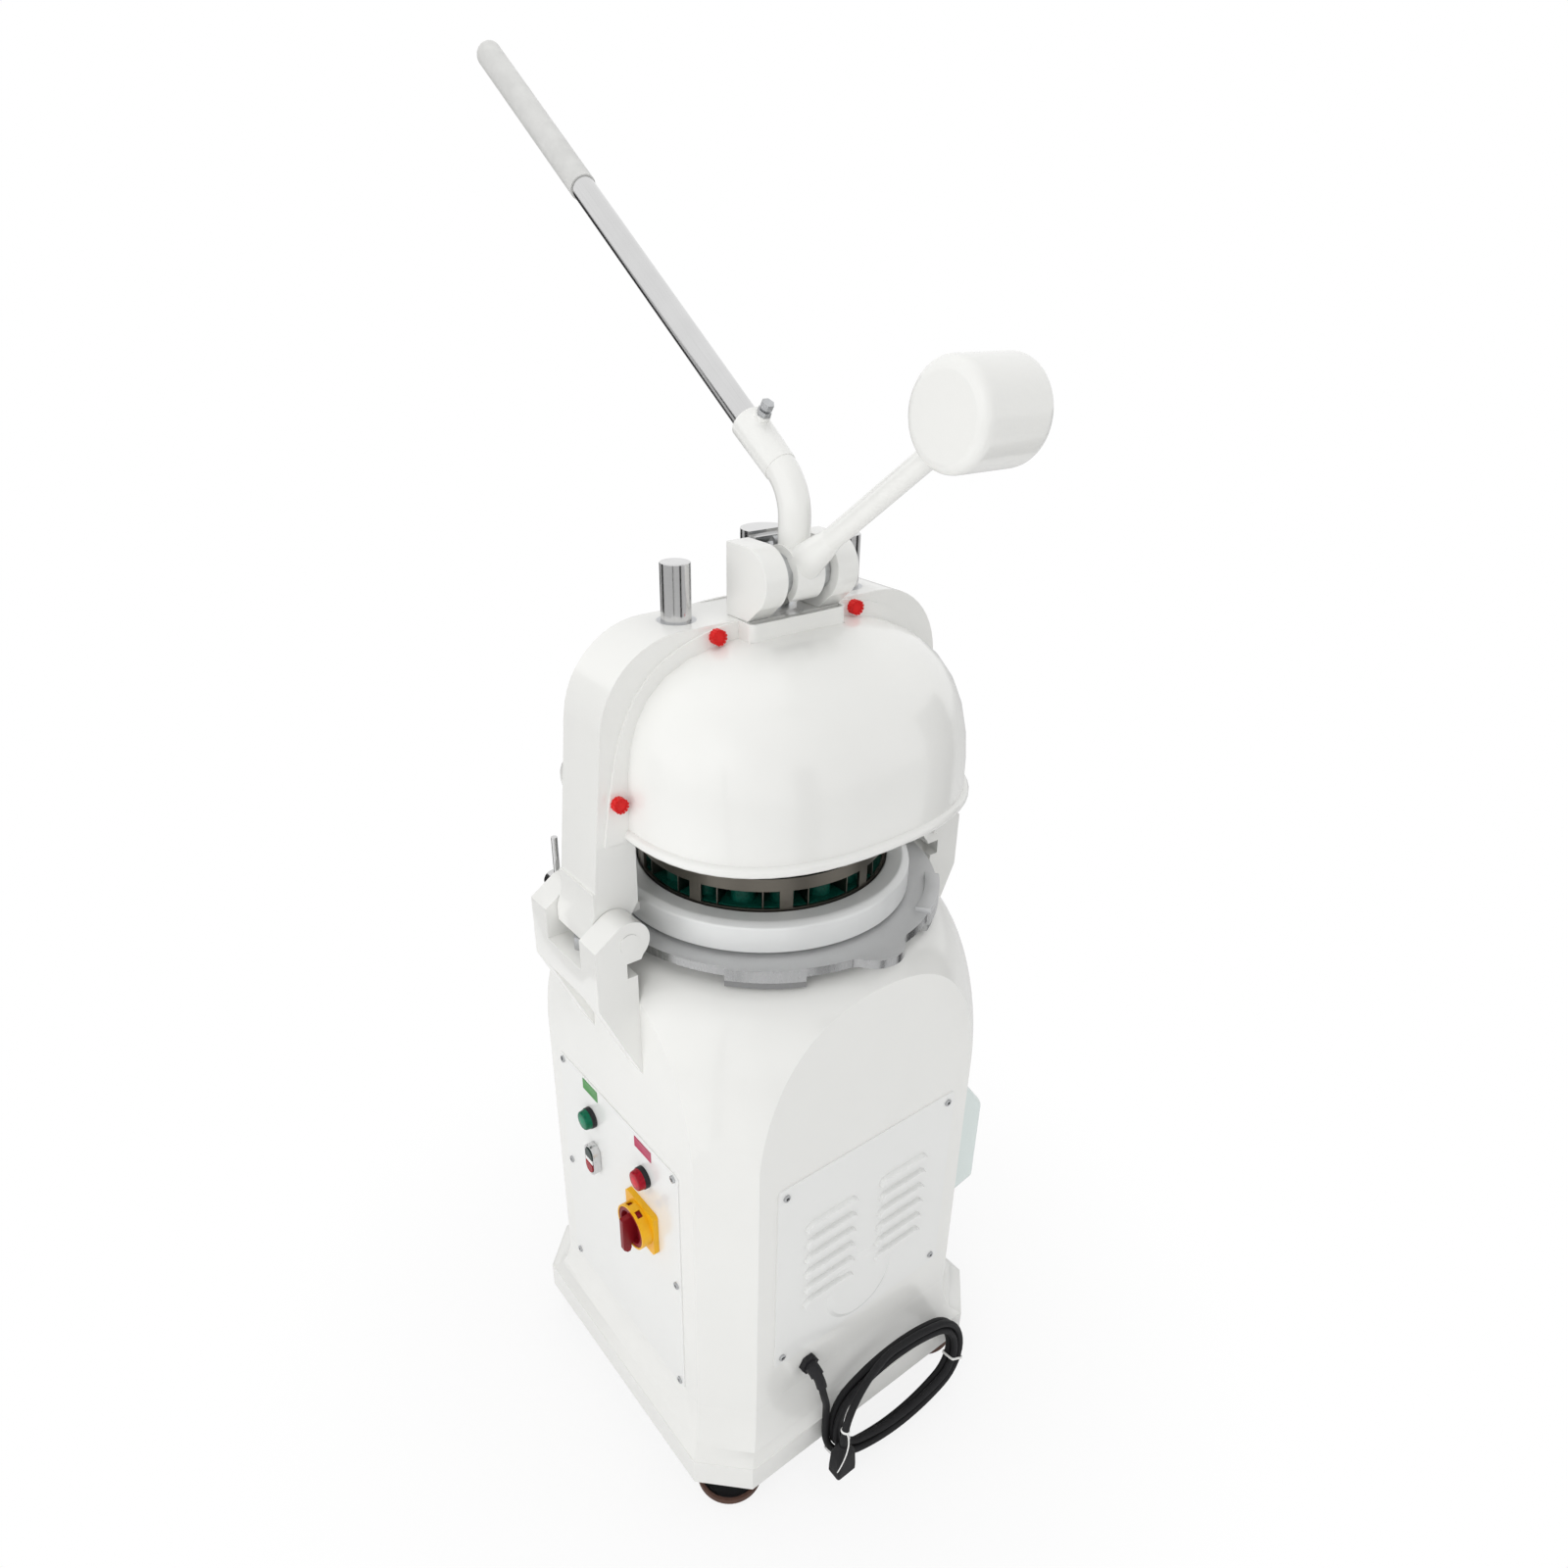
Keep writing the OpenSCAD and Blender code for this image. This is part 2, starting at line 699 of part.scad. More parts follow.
module button_bezel() {
  pocket_w = button_w - 9;
  color("silver") button_face() difference() {
    union() {
      linear_extrude(bezel_out) stadium(button_h, button_w);
      translate([0, 0, -30]) cylinder(h = 30 + eps, d = 22);
    }
    translate([0, 0, bezel_out - 9]) linear_extrude(10) difference() {
      stadium(button_h - 9, pocket_w);
      square([mid_h, button_w], center = true);
    }
    translate([-mid_h, -pocket_w / 2, bezel_out - 1]) cube([2 * mid_h, pocket_w, 2]);
  }
}

button_travel = 4;

// Start cap above and stop cap below, each an end of the oval
module button_cap(side) {
  w = button_w - 10;
  cap_low = mid_h / 2 + 0.4;
  button_face() translate([0, 0, bezel_out - 9 + button_travel + 0.6]) linear_extrude(6) intersection() {
    stadium(button_h - 10, w);
    translate([side > 0 ? cap_low : -button_h - cap_low, -button_w / 2]) square([button_h, button_w]);
  }
}

module start_button() { color("#1f3f33") button_cap(1); }
module stop_button() { color("firebrick") button_cap(-1); }

plate_out = 9;
collar_out = 26;
collar_t = 3;
module isolator_at() {
  translate([-half_body - panel_t, isolator_y, isolator_z]) rotate([0, -90, 0]) children();
}

module isolator_plate() {
  color("gold") isolator_at() difference() {
    union() {
      linear_extrude(plate_out) soft_rect(isolator_w, isolator_w, 6);
      cylinder(h = collar_out, d = collar_d);
      translate([0, 0, -40]) cylinder(h = 41, d = 22);
    }
    translate([0, 0, plate_out]) cylinder(h = collar_out, d = collar_d - 2 * collar_t);
    for (a = [-22, 22]) rotate([0, 0, a]) translate([0, -6, plate_out + 4])
      cube([collar_d, 12, 9]);
    translate([0, 0, plate_out - 6]) cylinder(h = 10, d = 16);
  }
}

// Cup inside the collar with a pointed grip blade, which stands out past the collar
knob_grip = 9;
module isolator_knob() {
  r = collar_d / 2 - collar_t - 0.6;
  front = collar_out + 15;
  low = plate_out + 6;
  color("#7d1720") isolator_at() {
    translate([0, 0, plate_out - 5.6]) cylinder(h = 6.2, r = 8 - run_gap);
    difference() {
      translate([0, 0, plate_out + 0.4]) cylinder(h = collar_out - plate_out - 0.9, r = r);
      translate([0, 0, low + 2]) cylinder(h = collar_out, r1 = r - 8, r2 = r - 2);
    }
    rotate([90, 0, 0]) linear_extrude(knob_grip, center = true) polygon([[3 - r, low], [r - 6, low],
      [r - 9, front], [-r - 4, front], [-r - 11, front - 6], [-r - 11, collar_out + 4],
      [-r - 5, collar_out + 1.5], [3 - r, collar_out + 1.5]]);
  }
}

// Mains cord

gland_x = -106;
gland_z = plinth_top + 38;
gland_d = 22;
nut_out = 9;
spout_r = 30;
spout_bend = 70;
hole_bend = 20;
module cable_gland() {
  color("#1b1b1c") translate([gland_x, -half_body, gland_z]) {
    rotate([90, 0, 0]) {
      translate([0, 0, -shell_wall - 8]) cylinder(h = shell_wall + 9, d = gland_d);
      cylinder(h = nut_out, d = 34, $fn = 6);
    }
    translate([0, -nut_out + eps, -spout_r]) rotate([0, -90, 180]) difference() {
      union() {
        rotate_extrude(angle = spout_bend / 2) translate([spout_r, 0]) circle(11);
        rotate_extrude(angle = spout_bend) translate([spout_r, 0]) circle(8.5);
      }
      rotate([0, 0, spout_bend - hole_bend]) rotate_extrude(angle = hole_bend + 1)
        translate([spout_r, 0]) circle(d = cord_d);
    }
  }
}

// The coil lies in a plane that leans back a little, its middle in front of the lip
coil_lean = 10;
coil_mid = [57, -half_plinth - cord_d - 8, coil_b * cos(coil_lean) + cord_d + 0.8];
coil_roll = 0;
coil_step = cord_d + 1;
tail_short = 0.25;
loop_rings = 48;
half_turns = 2 * coil_turns;

// Place in the frame of a point of the coil plane: along, up and out
function coil_point(p) =
  let (u = p[0] * cos(coil_roll) - p[1] * sin(coil_roll), v = p[0] * sin(coil_roll) + p[1] * cos(coil_roll))
  coil_mid + [u, v * sin(coil_lean) - p[2] * cos(coil_lean), v * cos(coil_lean) + p[2] * sin(coil_lean)];

// Steps inwards through the first layer and outwards through the second
function coil_draw(turn) = coil_step * (turn < coil_turns ? turn : half_turns - turn);
function coil_climb(turn) =
  let (t = min(1, max(0, (turn - coil_turns + 0.5)))) coil_step * (3 * t * t - 2 * t * t * t - 0.5);

// A turn is an oval of four arcs; its ends are one cord thickness tighter than its half height
coil_end = coil_b - cord_d;
end_x = coil_a - coil_end;
side_up = (end_x * end_x - cord_d * cord_d) / (2 * cord_d);
side_r = coil_b + side_up;
side_half = atan(end_x / side_up);
end_len = coil_end * (180 - 2 * side_half);
side_len = side_r * 2 * side_half;
end_share = end_len / (2 * (end_len + side_len));
coil_start = 0.595;

// Outward direction at a share of the way round, and the point there, drawn in by d
function oval_turn(s) =
  let (t = s - floor(s), half = floor(2 * t), u = t - half / 2)
  180 * half + (u < end_share ? -90 + side_half + u / end_share * (180 - 2 * side_half)
    : 90 - side_half + (u - end_share) / (0.5 - end_share) * 2 * side_half);
function oval_point(s, d) =
  let (t = s - floor(s), half = floor(2 * t), way = 1 - 2 * half, a = oval_turn(s),
       side = t - half / 2 >= end_share, r = (side ? side_r : coil_end) - d)
  [(side ? 0 : way * end_x) + r * cos(a), (side ? -way * side_up : 0) + r * sin(a)];
coil_loops = [for (i = [0 : (half_turns - tail_short) * loop_rings])
  let (turn = i / loop_rings, p = oval_point(coil_start + turn, coil_draw(turn)))
  coil_point([p[0], p[1], coil_climb(turn)])];
loop_end = len(coil_loops) - 1;

// Both ends run on straight for one diameter
coil_path = concat([coil_loops[0] - cord_d * unit(coil_loops[1] - coil_loops[0])], coil_loops,
  [coil_loops[loop_end] + cord_d * unit(coil_loops[loop_end] - coil_loops[loop_end - 1])]);

function unit(v) = v / norm(v);
function heading(path, i) =
  unit(path[min(i + 1, len(path) - 1)] - path[max(i - 1, 0)]);

// Closed tube of triangles along a path, one ring of corners at each point
module swept_tube(path, d, sides, ref) {
  n = len(path);
  rings = [for (i = [0 : n - 1])
    let (t = heading(path, i), a = unit(cross(t, ref)), b = cross(t, a))
    for (k = [0 : sides - 1]) path[i] + d / 2 * (a * cos(360 * k / sides) + b * sin(360 * k / sides))];
  walls = [for (i = [0 : n - 2], k = [0 : sides - 1])
    let (p = i * sides + k, q = i * sides + (k + 1) % sides)
    each [[p, p + sides, q], [q, p + sides, q + sides]]];
  ends = [for (k = [1 : sides - 2])
    each [[0, k, k + 1], [(n - 1) * sides, (n - 1) * sides + k + 1, (n - 1) * sides + k]]];
  polyhedron(rings, concat(walls, ends));
}

coil_front = -unit([0, cos(coil_lean), -sin(coil_lean)]);
module cord_coil() {
  color("#202022") swept_tube(coil_path, cord_d, 6, coil_front);
}

// Least distance between turns that lie beside or on each other
turn_gap = min([for (i = [0 : 3 : len(coil_path) - 1])
  for (j = [i + loop_rings / 2 : 1 : len(coil_path) - 1]) norm(coil_path[i] - coil_path[j])]) - cord_d;
echo(least_gap_of_coil = turn_gap);

// Straight ends of the coil, carried on into the lead and the tail
lead_end = coil_path[0];
lead_dir = unit(coil_path[1] - coil_path[0]);
tail_start = coil_path[len(coil_path) - 1];
tail_dir = unit(tail_start - coil_path[len(coil_path) - 2]);
gland_way = [0, -cos(spout_bend), -sin(spout_bend)];
gland_mouth = [gland_x, -half_body - nut_out - spout_r * sin(spout_bend),
  gland_z - spout_r * (1 - cos(spout_bend))];

// Smooth run between two places, leaving and arriving in given directions
function bezier(a, b, c, d, t) =
  a * pow(1 - t, 3) + 3 * b * t * pow(1 - t, 2) + 3 * c * t * t * (1 - t) + d * pow(t, 3);
cord_break = 0.2;
run_in = 8;
lead_path = concat([gland_mouth - 6 * gland_way],
  [for (i = [0 : 12]) bezier(gland_mouth, gland_mouth + 35 * gland_way,
    lead_end - (run_in + 32) * lead_dir, lead_end - run_in * lead_dir, i / 12)],
  [lead_end - cord_break * lead_dir]);
plug_top = [gland_x + 12, coil_mid[1] - 34, 120];
tail_path = concat([tail_start + cord_break * tail_dir],
  [for (i = [0 : 16]) bezier(tail_start + run_in * tail_dir, tail_start + (run_in + 44) * tail_dir,
    plug_top + [0, 0, 90], plug_top + [0, 0, run_in], i / 16)],
  [plug_top + [0, 0, cord_break]]);

module cord_lead() { color("#202022") swept_tube(lead_path, cord_d, 8, [1, 0, 0]); }
module cord_tail() { color("#202022") swept_tube(tail_path, cord_d, 8, [0, 1, 0]); }

plug_l = 62;
module mains_plug() {
  color("#1b1b1c") translate(plug_top) mirror([0, 0, 1]) {
    hull() {
      linear_extrude(1) soft_rect(15, 14, 6);
      translate([0, 0, 18]) linear_extrude(1) soft_rect(36, 26, 7);
      translate([0, 0, plug_l - 12]) linear_extrude(12) soft_rect(38, 26, 4);
    }
  }
  color("silver") translate(plug_top) for (x = [-6.4, 6.4])
    translate([x - 0.8, -3.2, -plug_l - 17]) cube([1.6, 6.4, 18]);
}

// Each tie is a band round the four strands of the coil, drawn tight on their flats
tie_w = 4;
tie_t = 1.5;
module coil_tie(turn) {
  spread = max([for (k = [0 : half_turns - 1]) abs(coil_draw(turn + k) - coil_step)]);
  deep = coil_step + cord_d * cos(30) + 0.1;
  tall = 2 * spread + cord_d + 1;
  mid = concat(oval_point(coil_start + turn, coil_step), [0]);
  translate(coil_mid) rotate([-coil_lean, 0, 0]) rotate([0, -coil_roll, 0]) rotate([90, 0, 0])
    translate(mid) rotate([0, 0, oval_turn(coil_start + turn) + 90]) rotate([0, 90, 0])
      translate([0, 0, -tie_w / 2]) linear_extrude(tie_w) difference() {
        soft_rect(deep + 2 * tie_t, tall + 2 * tie_t, 4);
        soft_rect(deep, tall, 4 - tie_t);
      }
}

module cord_ties() { color("white") for (t = [3, 23]) coil_tie(t / loop_rings); }

// Yoke and its fittings

leg_foot_r = 28;
leg_heel = 23;
leg_lean = 24;
leg_out = pin_x + 25;
leg_in = leg_out - leg_w;
hollow_r = 60;

// Outer edge of the arch in X and Z, from the right leg over the top to the left leg
function arch_edge() =
  let (x = leg_out - leg_lean, side = arc([x - bend_r, yoke_top - bend_r], bend_r, 6, 90, 12))
  concat([[leg_out, pin_z + 26]], side,
    [for (i = [len(side) - 1 : -1 : 0]) [-side[i][0], side[i][1]]], [[-leg_out, pin_z + 26]]);

// Inner edge of the arch, open at the bottom
function arch_hollow() =
  let (top = yoke_top - beam_h, side = arc([leg_in - hollow_r, top - hollow_r], hollow_r, 0, 90, 8))
  concat([[leg_in, pin_z - 60]], side,
    [for (i = [len(side) - 1 : -1 : 0]) [-side[i][0], side[i][1]]], [[-leg_in, pin_z - 60]]);

// The left leg stands on its heel, the right leg ends in a round eye
module yoke_outline() {
  difference() {
    union() {
      polygon(arch_edge());
      for (x = [-1, 1]) {
        translate([x * pin_x, pin_z]) circle(leg_foot_r);
        polygon([[x * leg_in, pin_z + 60], [x * leg_in, pin_z + 30], [x * (pin_x - leg_foot_r + 1), pin_z + 6],
          [x * pin_x, pin_z], [x * (pin_x + leg_foot_r - 4), pin_z + 14], [x * leg_out, pin_z + 27],
          [x * leg_out, pin_z + 60]]);
      }
      polygon([[-leg_out, pin_z + 27], [-leg_out - 8, pin_z + 4], [-leg_out - 8, pin_z - leg_heel + 6],
        [-leg_out - 4, pin_z - leg_heel], [-pin_x - 12, pin_z - leg_heel], [-pin_x - 10, pin_z + 27]]);
    }
    translate([-pin_x - 60, pin_z - leg_heel - 40]) square([120, 40]);
    polygon(arch_hollow());
    translate([pin_x, pin_z]) circle(pin_d / 2 + run_gap);
    translate([-pin_x, pin_z]) circle(pin_d / 2 + 0.5);
    translate([-pin_x - lock_flat / 2 - 1.4, pin_z - 60]) square([lock_flat + 2.8, 60]);
  }
}

block_in = 40;
block_out = 75;
block_r = 41.5;
bush_t = 6;
boss_front = shaft_y + 4;
boss_x = block_out - 1;
sector_gap = 4;
module yoke() {
  color("whitesmoke") difference() {
    union() {
      translate([0, half_yoke, 0]) rotate([90, 0, 0]) linear_extrude(yoke_depth) yoke_outline();
      translate([-boss_x, -boss_front, yoke_top - 22])
        cube([2 * boss_x, boss_front - half_yoke + 1, 22]);
    }
    for (x = [-1, 1]) translate([x * rod_x, 0, yoke_top - beam_h - 1])
      cylinder(h = beam_h + 2, d = rod_d + 2 * bush_t);
    translate([0, 0, yoke_top - beam_h - 1]) cylinder(h = beam_h + 2, d = ram_d + 2 * bush_t);
    sector_sweep();
  }
}

// Room for the toothed sector as it swings down
module sector_sweep() {
  translate([0, -shaft_y, shaft_z])
    bar_x(-tooth_w / 2 - 3, tooth_w / 2 + 3, pitch_r + gear_module + sector_gap);
}

// Bushes in the beam guide the two rods and the ram
module guide_bushes() {
  color("#8c8f92") {
    for (x = [-1, 1]) translate([x * rod_x, 0, yoke_top - beam_h]) difference() {
      cylinder(h = beam_h, d = rod_d + 2 * bush_t);
      translate([0, 0, -1]) cylinder(h = beam_h + 2, d = rod_d + 2 * run_gap);
    }
    difference() {
      translate([0, 0, yoke_top - beam_h]) cylinder(h = beam_h, d = ram_d + 2 * bush_t);
      translate([0, 0, yoke_top - beam_h - 1]) cylinder(h = beam_h + 2, d = ram_d + 2 * run_gap);
      sector_sweep();
    }
  }
}

// Bearing blocks with a round nose towards the front, bored blind for the lever shaft
module bearing_blocks() {
  color("whitesmoke") for (s = [-1, 1]) difference() {
    translate([s > 0 ? block_in : -block_out, 0, 0]) rotate([90, 0, 90])
      linear_extrude(block_out - block_in) union() {
        translate([-shaft_y, shaft_z]) circle(block_r);
        polygon([[-shaft_y, shaft_z + block_r], [-shaft_y + block_r, shaft_z + block_r],
          [-shaft_y + block_r, yoke_top], [-boss_front, yoke_top], [-shaft_y - block_r * 0.7, shaft_z - block_r * 0.7],
          [-shaft_y, shaft_z]]);
      }
    translate([0, -shaft_y, shaft_z]) bar_x(-block_out + 6, block_out - 6, shaft_d / 2 + run_gap);
    translate([-block_out - 1, -shaft_y - 2 * block_r, yoke_top - 40]) cube([2 * block_out + 2, 4 * block_r, 40]);
  }
}

// Hangers hold the press ring to the inner faces of the legs
hanger_w = 34;
hanger_t = 12;
hanger_h = 110;
tab_h = 14;
module ring_hangers() {
  color("whitesmoke") for (s = [-1, 1]) mirror([s < 0 ? 1 : 0, 0, 0]) difference() {
    union() {
      translate([leg_in - hanger_t, -hanger_w / 2, ring_top - tab_h + 40]) cube([hanger_t, hanger_w, hanger_h - 40]);
      translate([leg_in - hanger_t, -hanger_w / 2 + 6, ring_top - tab_h - 12]) cube([hanger_t, hanger_w - 12, 60]);
      translate([ring_r - 10, -hanger_w / 2 + 6, ring_top - tab_h - 12])
        cube([leg_in - ring_r + 10 - hanger_t + eps, hanger_w - 12, tab_h]);
    }
    translate([0, 0, ring_z - 10]) cylinder(h = ring_h + 20, r = ring_r, $fn = 120);
  }
}

ring_bevel = 9.5;
bevel_drop = 6.5;
module press_ring() {
  inner = drum_r + 2;
  color("#e4e6e6") rotate_extrude($fn = 120) polygon([[inner, ring_z], [ring_r, ring_z],
    [ring_r, ring_top - bevel_drop], [ring_r - ring_bevel, ring_top], [inner, ring_top]]);
}

// Covers

rim_z = ring_top + 110;
cover_top = yoke_top - 21;
cover_a = pin_x - 31;
cover_b = 215;
cover_wall = 3;
flange_t = 4;
cover_y = half_yoke + flange_t - 1;
bead_r = 7.5;
plan_power = 2.5;
side_power = 3.4;
front_power = 2.5;
around = 30;
bead_rows = 5;
rows = 14;

function signed_pow(v, p) = sign(v) * pow(abs(v), p);
function drawn_in(t, p) = pow(max(0, 1 - pow(t, p)), 1 / p);

// Height share of each row above the rolled bead, closer together near the top
function row_share(i) = i <= bead_rows ? 0 : 0.997 * sin(90 * (i - bead_rows) / (rows - bead_rows));
function bead_out(i) = i < bead_rows ? bead_r * sin(180 * i / bead_rows) : 0;
function bead_up(i) = i < bead_rows ? bead_r * (1 - cos(180 * i / bead_rows)) : 2 * bead_r;

// A point of the cover skin, inset by the wall for its inner side
function cover_point(i, k, inset) =
  let (t = row_share(i), out = inset == 0 ? bead_out(i) : -inset, f = 180 * k / around,
       a = cover_a * drawn_in(t, side_power) + out, b = cover_b * drawn_in(t, front_power) + out)
  [a * signed_pow(cos(f), 2 / plan_power),
   -cover_y - (k == 0 || k == around ? 0 : b * pow(sin(f), 2 / plan_power)),
   rim_z + bead_up(i) + (cover_top - rim_z - 2 * bead_r) * t - (t > 0 ? inset * t : 0)];

// Outer and inner skin, joined along the rim and along the edge on the flange, closed flat on top
module cover_skin() {
  n = around + 1;
  outer = [for (i = [0 : rows], k = [0 : around]) cover_point(i, k, 0)];
  inner = [for (i = [0 : rows], k = [0 : around]) cover_point(i, k, cover_wall)];
  m = len(outer);
  last = rows * n;
  quads = [for (i = [0 : rows - 1], k = [0 : around - 1])
    [i * n + k, i * n + k + 1, (i + 1) * n + k + 1, (i + 1) * n + k]];
  skin = [for (q = quads) each [[q[0], q[1], q[2]], [q[0], q[2], q[3]]]];
  lining = [for (q = quads) each [[q[0] + m, q[2] + m, q[1] + m], [q[0] + m, q[3] + m, q[2] + m]]];
  top = [for (k = [1 : around - 1])
    each [[last, last + k, last + k + 1], [last + m, last + k + 1 + m, last + k + m]]];
  edge = concat([for (k = [0 : around]) k], [for (i = [1 : rows]) i * n + around],
    [for (i = [rows : -1 : 1]) i * n]);
  rim = [for (j = [0 : len(edge) - 1]) let (p = edge[j], q = edge[(j + 1) % len(edge)])
    each [[p, q + m, q], [p, p + m, q + m]]];
  polyhedron(concat(outer, inner), concat(skin, lining, top, rim));
}

flange_a = pin_x + 5;
flange_top = yoke_top + 2;
knob_x = pin_x - 16;
knob_places = [[-knob_x, rim_z + 57], [-115, yoke_top - 13], [113, yoke_top - 13], [knob_x, rim_z + 57]];
pocket_x = 79;
pocket_y = 76;
pocket_low = yoke_top - 46;

// Outline of half an oval standing on the rim line, a little drawn in at mid height
function half_oval(a, z0, h, p, tuck) = [for (i = [0 : 48]) let (f = 180 * i / 48, t = pow(sin(f), 2 / p))
  [a * signed_pow(cos(f), 2 / p) * (1 - tuck * sin(180 * t)), z0 + h * t]];

// Flange along the arch, with the mouth of the pocket left open
module cover_flange(mouth) {
  translate([0, -half_yoke, 0]) rotate([90, 0, 0]) linear_extrude(flange_t) difference() {
    polygon(half_oval(flange_a, rim_z, flange_top - rim_z, 2.9, 0.045));
    polygon(concat([[cover_a - 1.5, rim_z - 5]],
      half_oval(cover_a - 1.5, rim_z + 2 * bead_r, cover_top - 1.5 - rim_z - 2 * bead_r, side_power, 0),
      [[-cover_a + 1.5, rim_z - 5]]));
    if (mouth) translate([-pocket_x + 1, pocket_low + 1]) square([2 * pocket_x - 2, 200]);
    for (p = knob_places) translate(p) circle(4);
  }
}

// Box round the front boss of the yoke, open above and behind
module pocket_walls() {
  deep = pocket_y - half_yoke;
  difference() {
    translate([0, -pocket_y, pocket_low]) linear_extrude(yoke_top - pocket_low) union() {
      translate([0, deep / 2]) soft_rect(2 * pocket_x, deep, 10);
      translate([-pocket_x, deep - 12]) square([2 * pocket_x, 12]);
    }
    translate([0, -pocket_y, pocket_low + cover_wall]) linear_extrude(80) union() {
      translate([0, deep / 2]) soft_rect(2 * pocket_x - 2 * cover_wall, deep - 2 * cover_wall, 7);
      translate([-pocket_x + cover_wall, deep - 12]) square([2 * pocket_x - 2 * cover_wall, 13]);
    }
  }
}

module front_cover() {
  color("whitesmoke") {
    cover_flange(true);
    difference() {
      cover_skin();
      translate([-pocket_x + 1, -pocket_y + 1, pocket_low + 1])
        cube([2 * pocket_x - 2, pocket_y, 100]);
    }
    pocket_walls();
  }
}

module rear_cover() {
  color("whitesmoke") mirror([0, 1, 0]) {
    cover_flange(false);
    cover_skin();
  }
}

knob_d = 20;
knob_l = 15;
module cover_knobs() {
  y = half_yoke + flange_t;
  color("red") for (s = [-1, 1], p = knob_places) mirror([0, s > 0 ? 0 : 1, 0])
    translate([p[0], -y, p[1]]) rotate([90, 0, 0]) {
      difference() {
        cylinder(h = knob_l, d = knob_d);
        for (a = [0 : 30 : 330]) rotate([0, 0, a]) translate([knob_d / 2 + 0.8, 0, -1])
          cylinder(h = knob_l + 2, d = 3.4);
      }
      translate([0, 0, -flange_t]) cylinder(h = flange_t + eps, d = 8);
    }
}

// Lever, all turned about the shaft

module at_shaft() { translate([0, -shaft_y, shaft_z]) children(); }

module lever_shaft() {
  color("silver") at_shaft() bar_x(-block_out + 6 + face_gap, block_out - 6 - face_gap, shaft_d / 2);
}

barrel_r = 27;
tooth_w = 24;
tooth_share = 0.36;
tooth_pitch = PI * gear_module;

// One tooth of the sector, drawn along +X of its own frame
module gear_tooth() {
  root = pitch_r - 1.25 * gear_module;
  tip = pitch_r + gear_module;
  wide = tooth_pitch * tooth_share;
  polygon([[root - 2, -wide * 0.7], [root, -wide * 0.7], [pitch_r, -wide / 2], [tip, -wide * 0.28],
    [tip, wide * 0.28], [pitch_r, wide / 2], [root, wide * 0.7], [root - 2, wide * 0.7]]);
}

// Toothed sector on a steel barrel, teeth towards the rack
module sector_pinion() {
  root = pitch_r - 1.25 * gear_module;
  pitch = 360 / gear_teeth;
  color("#7d8184") at_shaft() difference() {
    union() {
      bar_x(-block_in + face_gap + 1, block_in - face_gap - 1, barrel_r);
      rotate([90, 0, 90]) translate([0, 0, -tooth_w / 2]) linear_extrude(tooth_w) {
        for (k = [0 : 4]) rotate((k - 0.5) * pitch) gear_tooth();
        intersection() {
          circle(root);
          polygon(concat([[0, 0]], arc([0, 0], 2 * root, -0.9 * pitch, 3.9 * pitch, 12)));
        }
      }
    }
    bar_x(-block_in, block_in, shaft_d / 2);
  }
}

bend_mid = 70;
neck_rise = 66;
neck_turn = 90 - tube_slope;
// Where the neck's bend ends and the socket starts
seam = [-shaft_y + bend_mid * (1 - cos(neck_turn)), shaft_z + neck_rise + bend_mid * sin(neck_turn)];

// Lays a shape that stands along +Z down along the lever tube, from the seam on
module along_tube(s) {
  translate([0, seam[0], seam[1]]) rotate([-(90 - tube_slope), 0, 0]) translate([0, 0, s]) children();
}

// Lays a shape along the counterweight arm, from the shaft on
module along_arm(s) {
  at_shaft() rotate([90 - arm_slope, 0, 0]) translate([0, 0, s]) children();
}

saddle_w = 44;
root_l = 92;
root_d = 28;

// Saddle on the front of the barrel, from which the neck and the arm root rise
module lever_neck() {
  color("whitesmoke") difference() {
    union() {
      at_shaft() cylinder(h = neck_rise, d = neck_d);
      at_shaft() rotate([90, 0, 90]) translate([0, 0, -saddle_w / 2]) linear_extrude(saddle_w) intersection() {
        circle(barrel_r + 10);
        polygon(concat([[0, 0]], arc([0, 0], 2 * barrel_r + 20, 64, 236, 12)));
      }
      translate([0, -shaft_y + bend_mid, shaft_z + neck_rise]) rotate([90, 0, -90])
        rotate_extrude(angle = neck_turn) translate([bend_mid, 0]) circle(d = neck_d);
      along_arm(0) cylinder(h = root_l, d1 = 56, d2 = root_d);
    }
    at_shaft() bar_x(-block_in, block_in, barrel_r);
    at_shaft() translate([-tooth_w / 2 - 1, 0, 0]) intersection() {
      bar_x(0, tooth_w + 2, pitch_r + gear_module + 1.5);
      translate([-1, 1, -80]) cube([tooth_w + 4, 80, 160]);
    }
    at_shaft() translate([-80, -80, -160]) cube([160, 160, 160 - barrel_r * sin(56) - 9]);
    at_shaft() translate([-80, 0, -160]) cube([160, 80, 160 + 12]);
  }
}

socket_l = 80;
socket_d = 47;
socket_deep = 62;
clamp_at = 62;
module lever_socket() {
  color("whitesmoke") along_tube(0) difference() {
    union() {
      cylinder(h = socket_l, d1 = neck_d + 2, d2 = socket_d);
      translate([0, 0, clamp_at]) rotate([-90, 0, 0]) mirror([0, 0, 1]) cylinder(h = socket_d / 2 + 4, d = 20);
    }
    translate([0, 0, socket_l - socket_deep]) cylinder(h = socket_deep + 1, d = tube_d);
    translate([0, 0, clamp_at]) rotate([90, 0, 0]) cylinder(h = socket_d, d = 10);
  }
}

// Clamping bolt with its jam nut, square to the tube
module clamp_bolt() {
  color("silver") along_tube(clamp_at) rotate([90, 0, 0]) {
    translate([0, 0, tube_d / 2]) cylinder(h = 26, d = 10);
    translate([0, 0, socket_d / 2 + 4]) cylinder(h = 7, d = 19, $fn = 6);
    translate([0, 0, tube_d / 2 + 20]) cylinder(h = 8, d = 17, $fn = 6);
  }
}

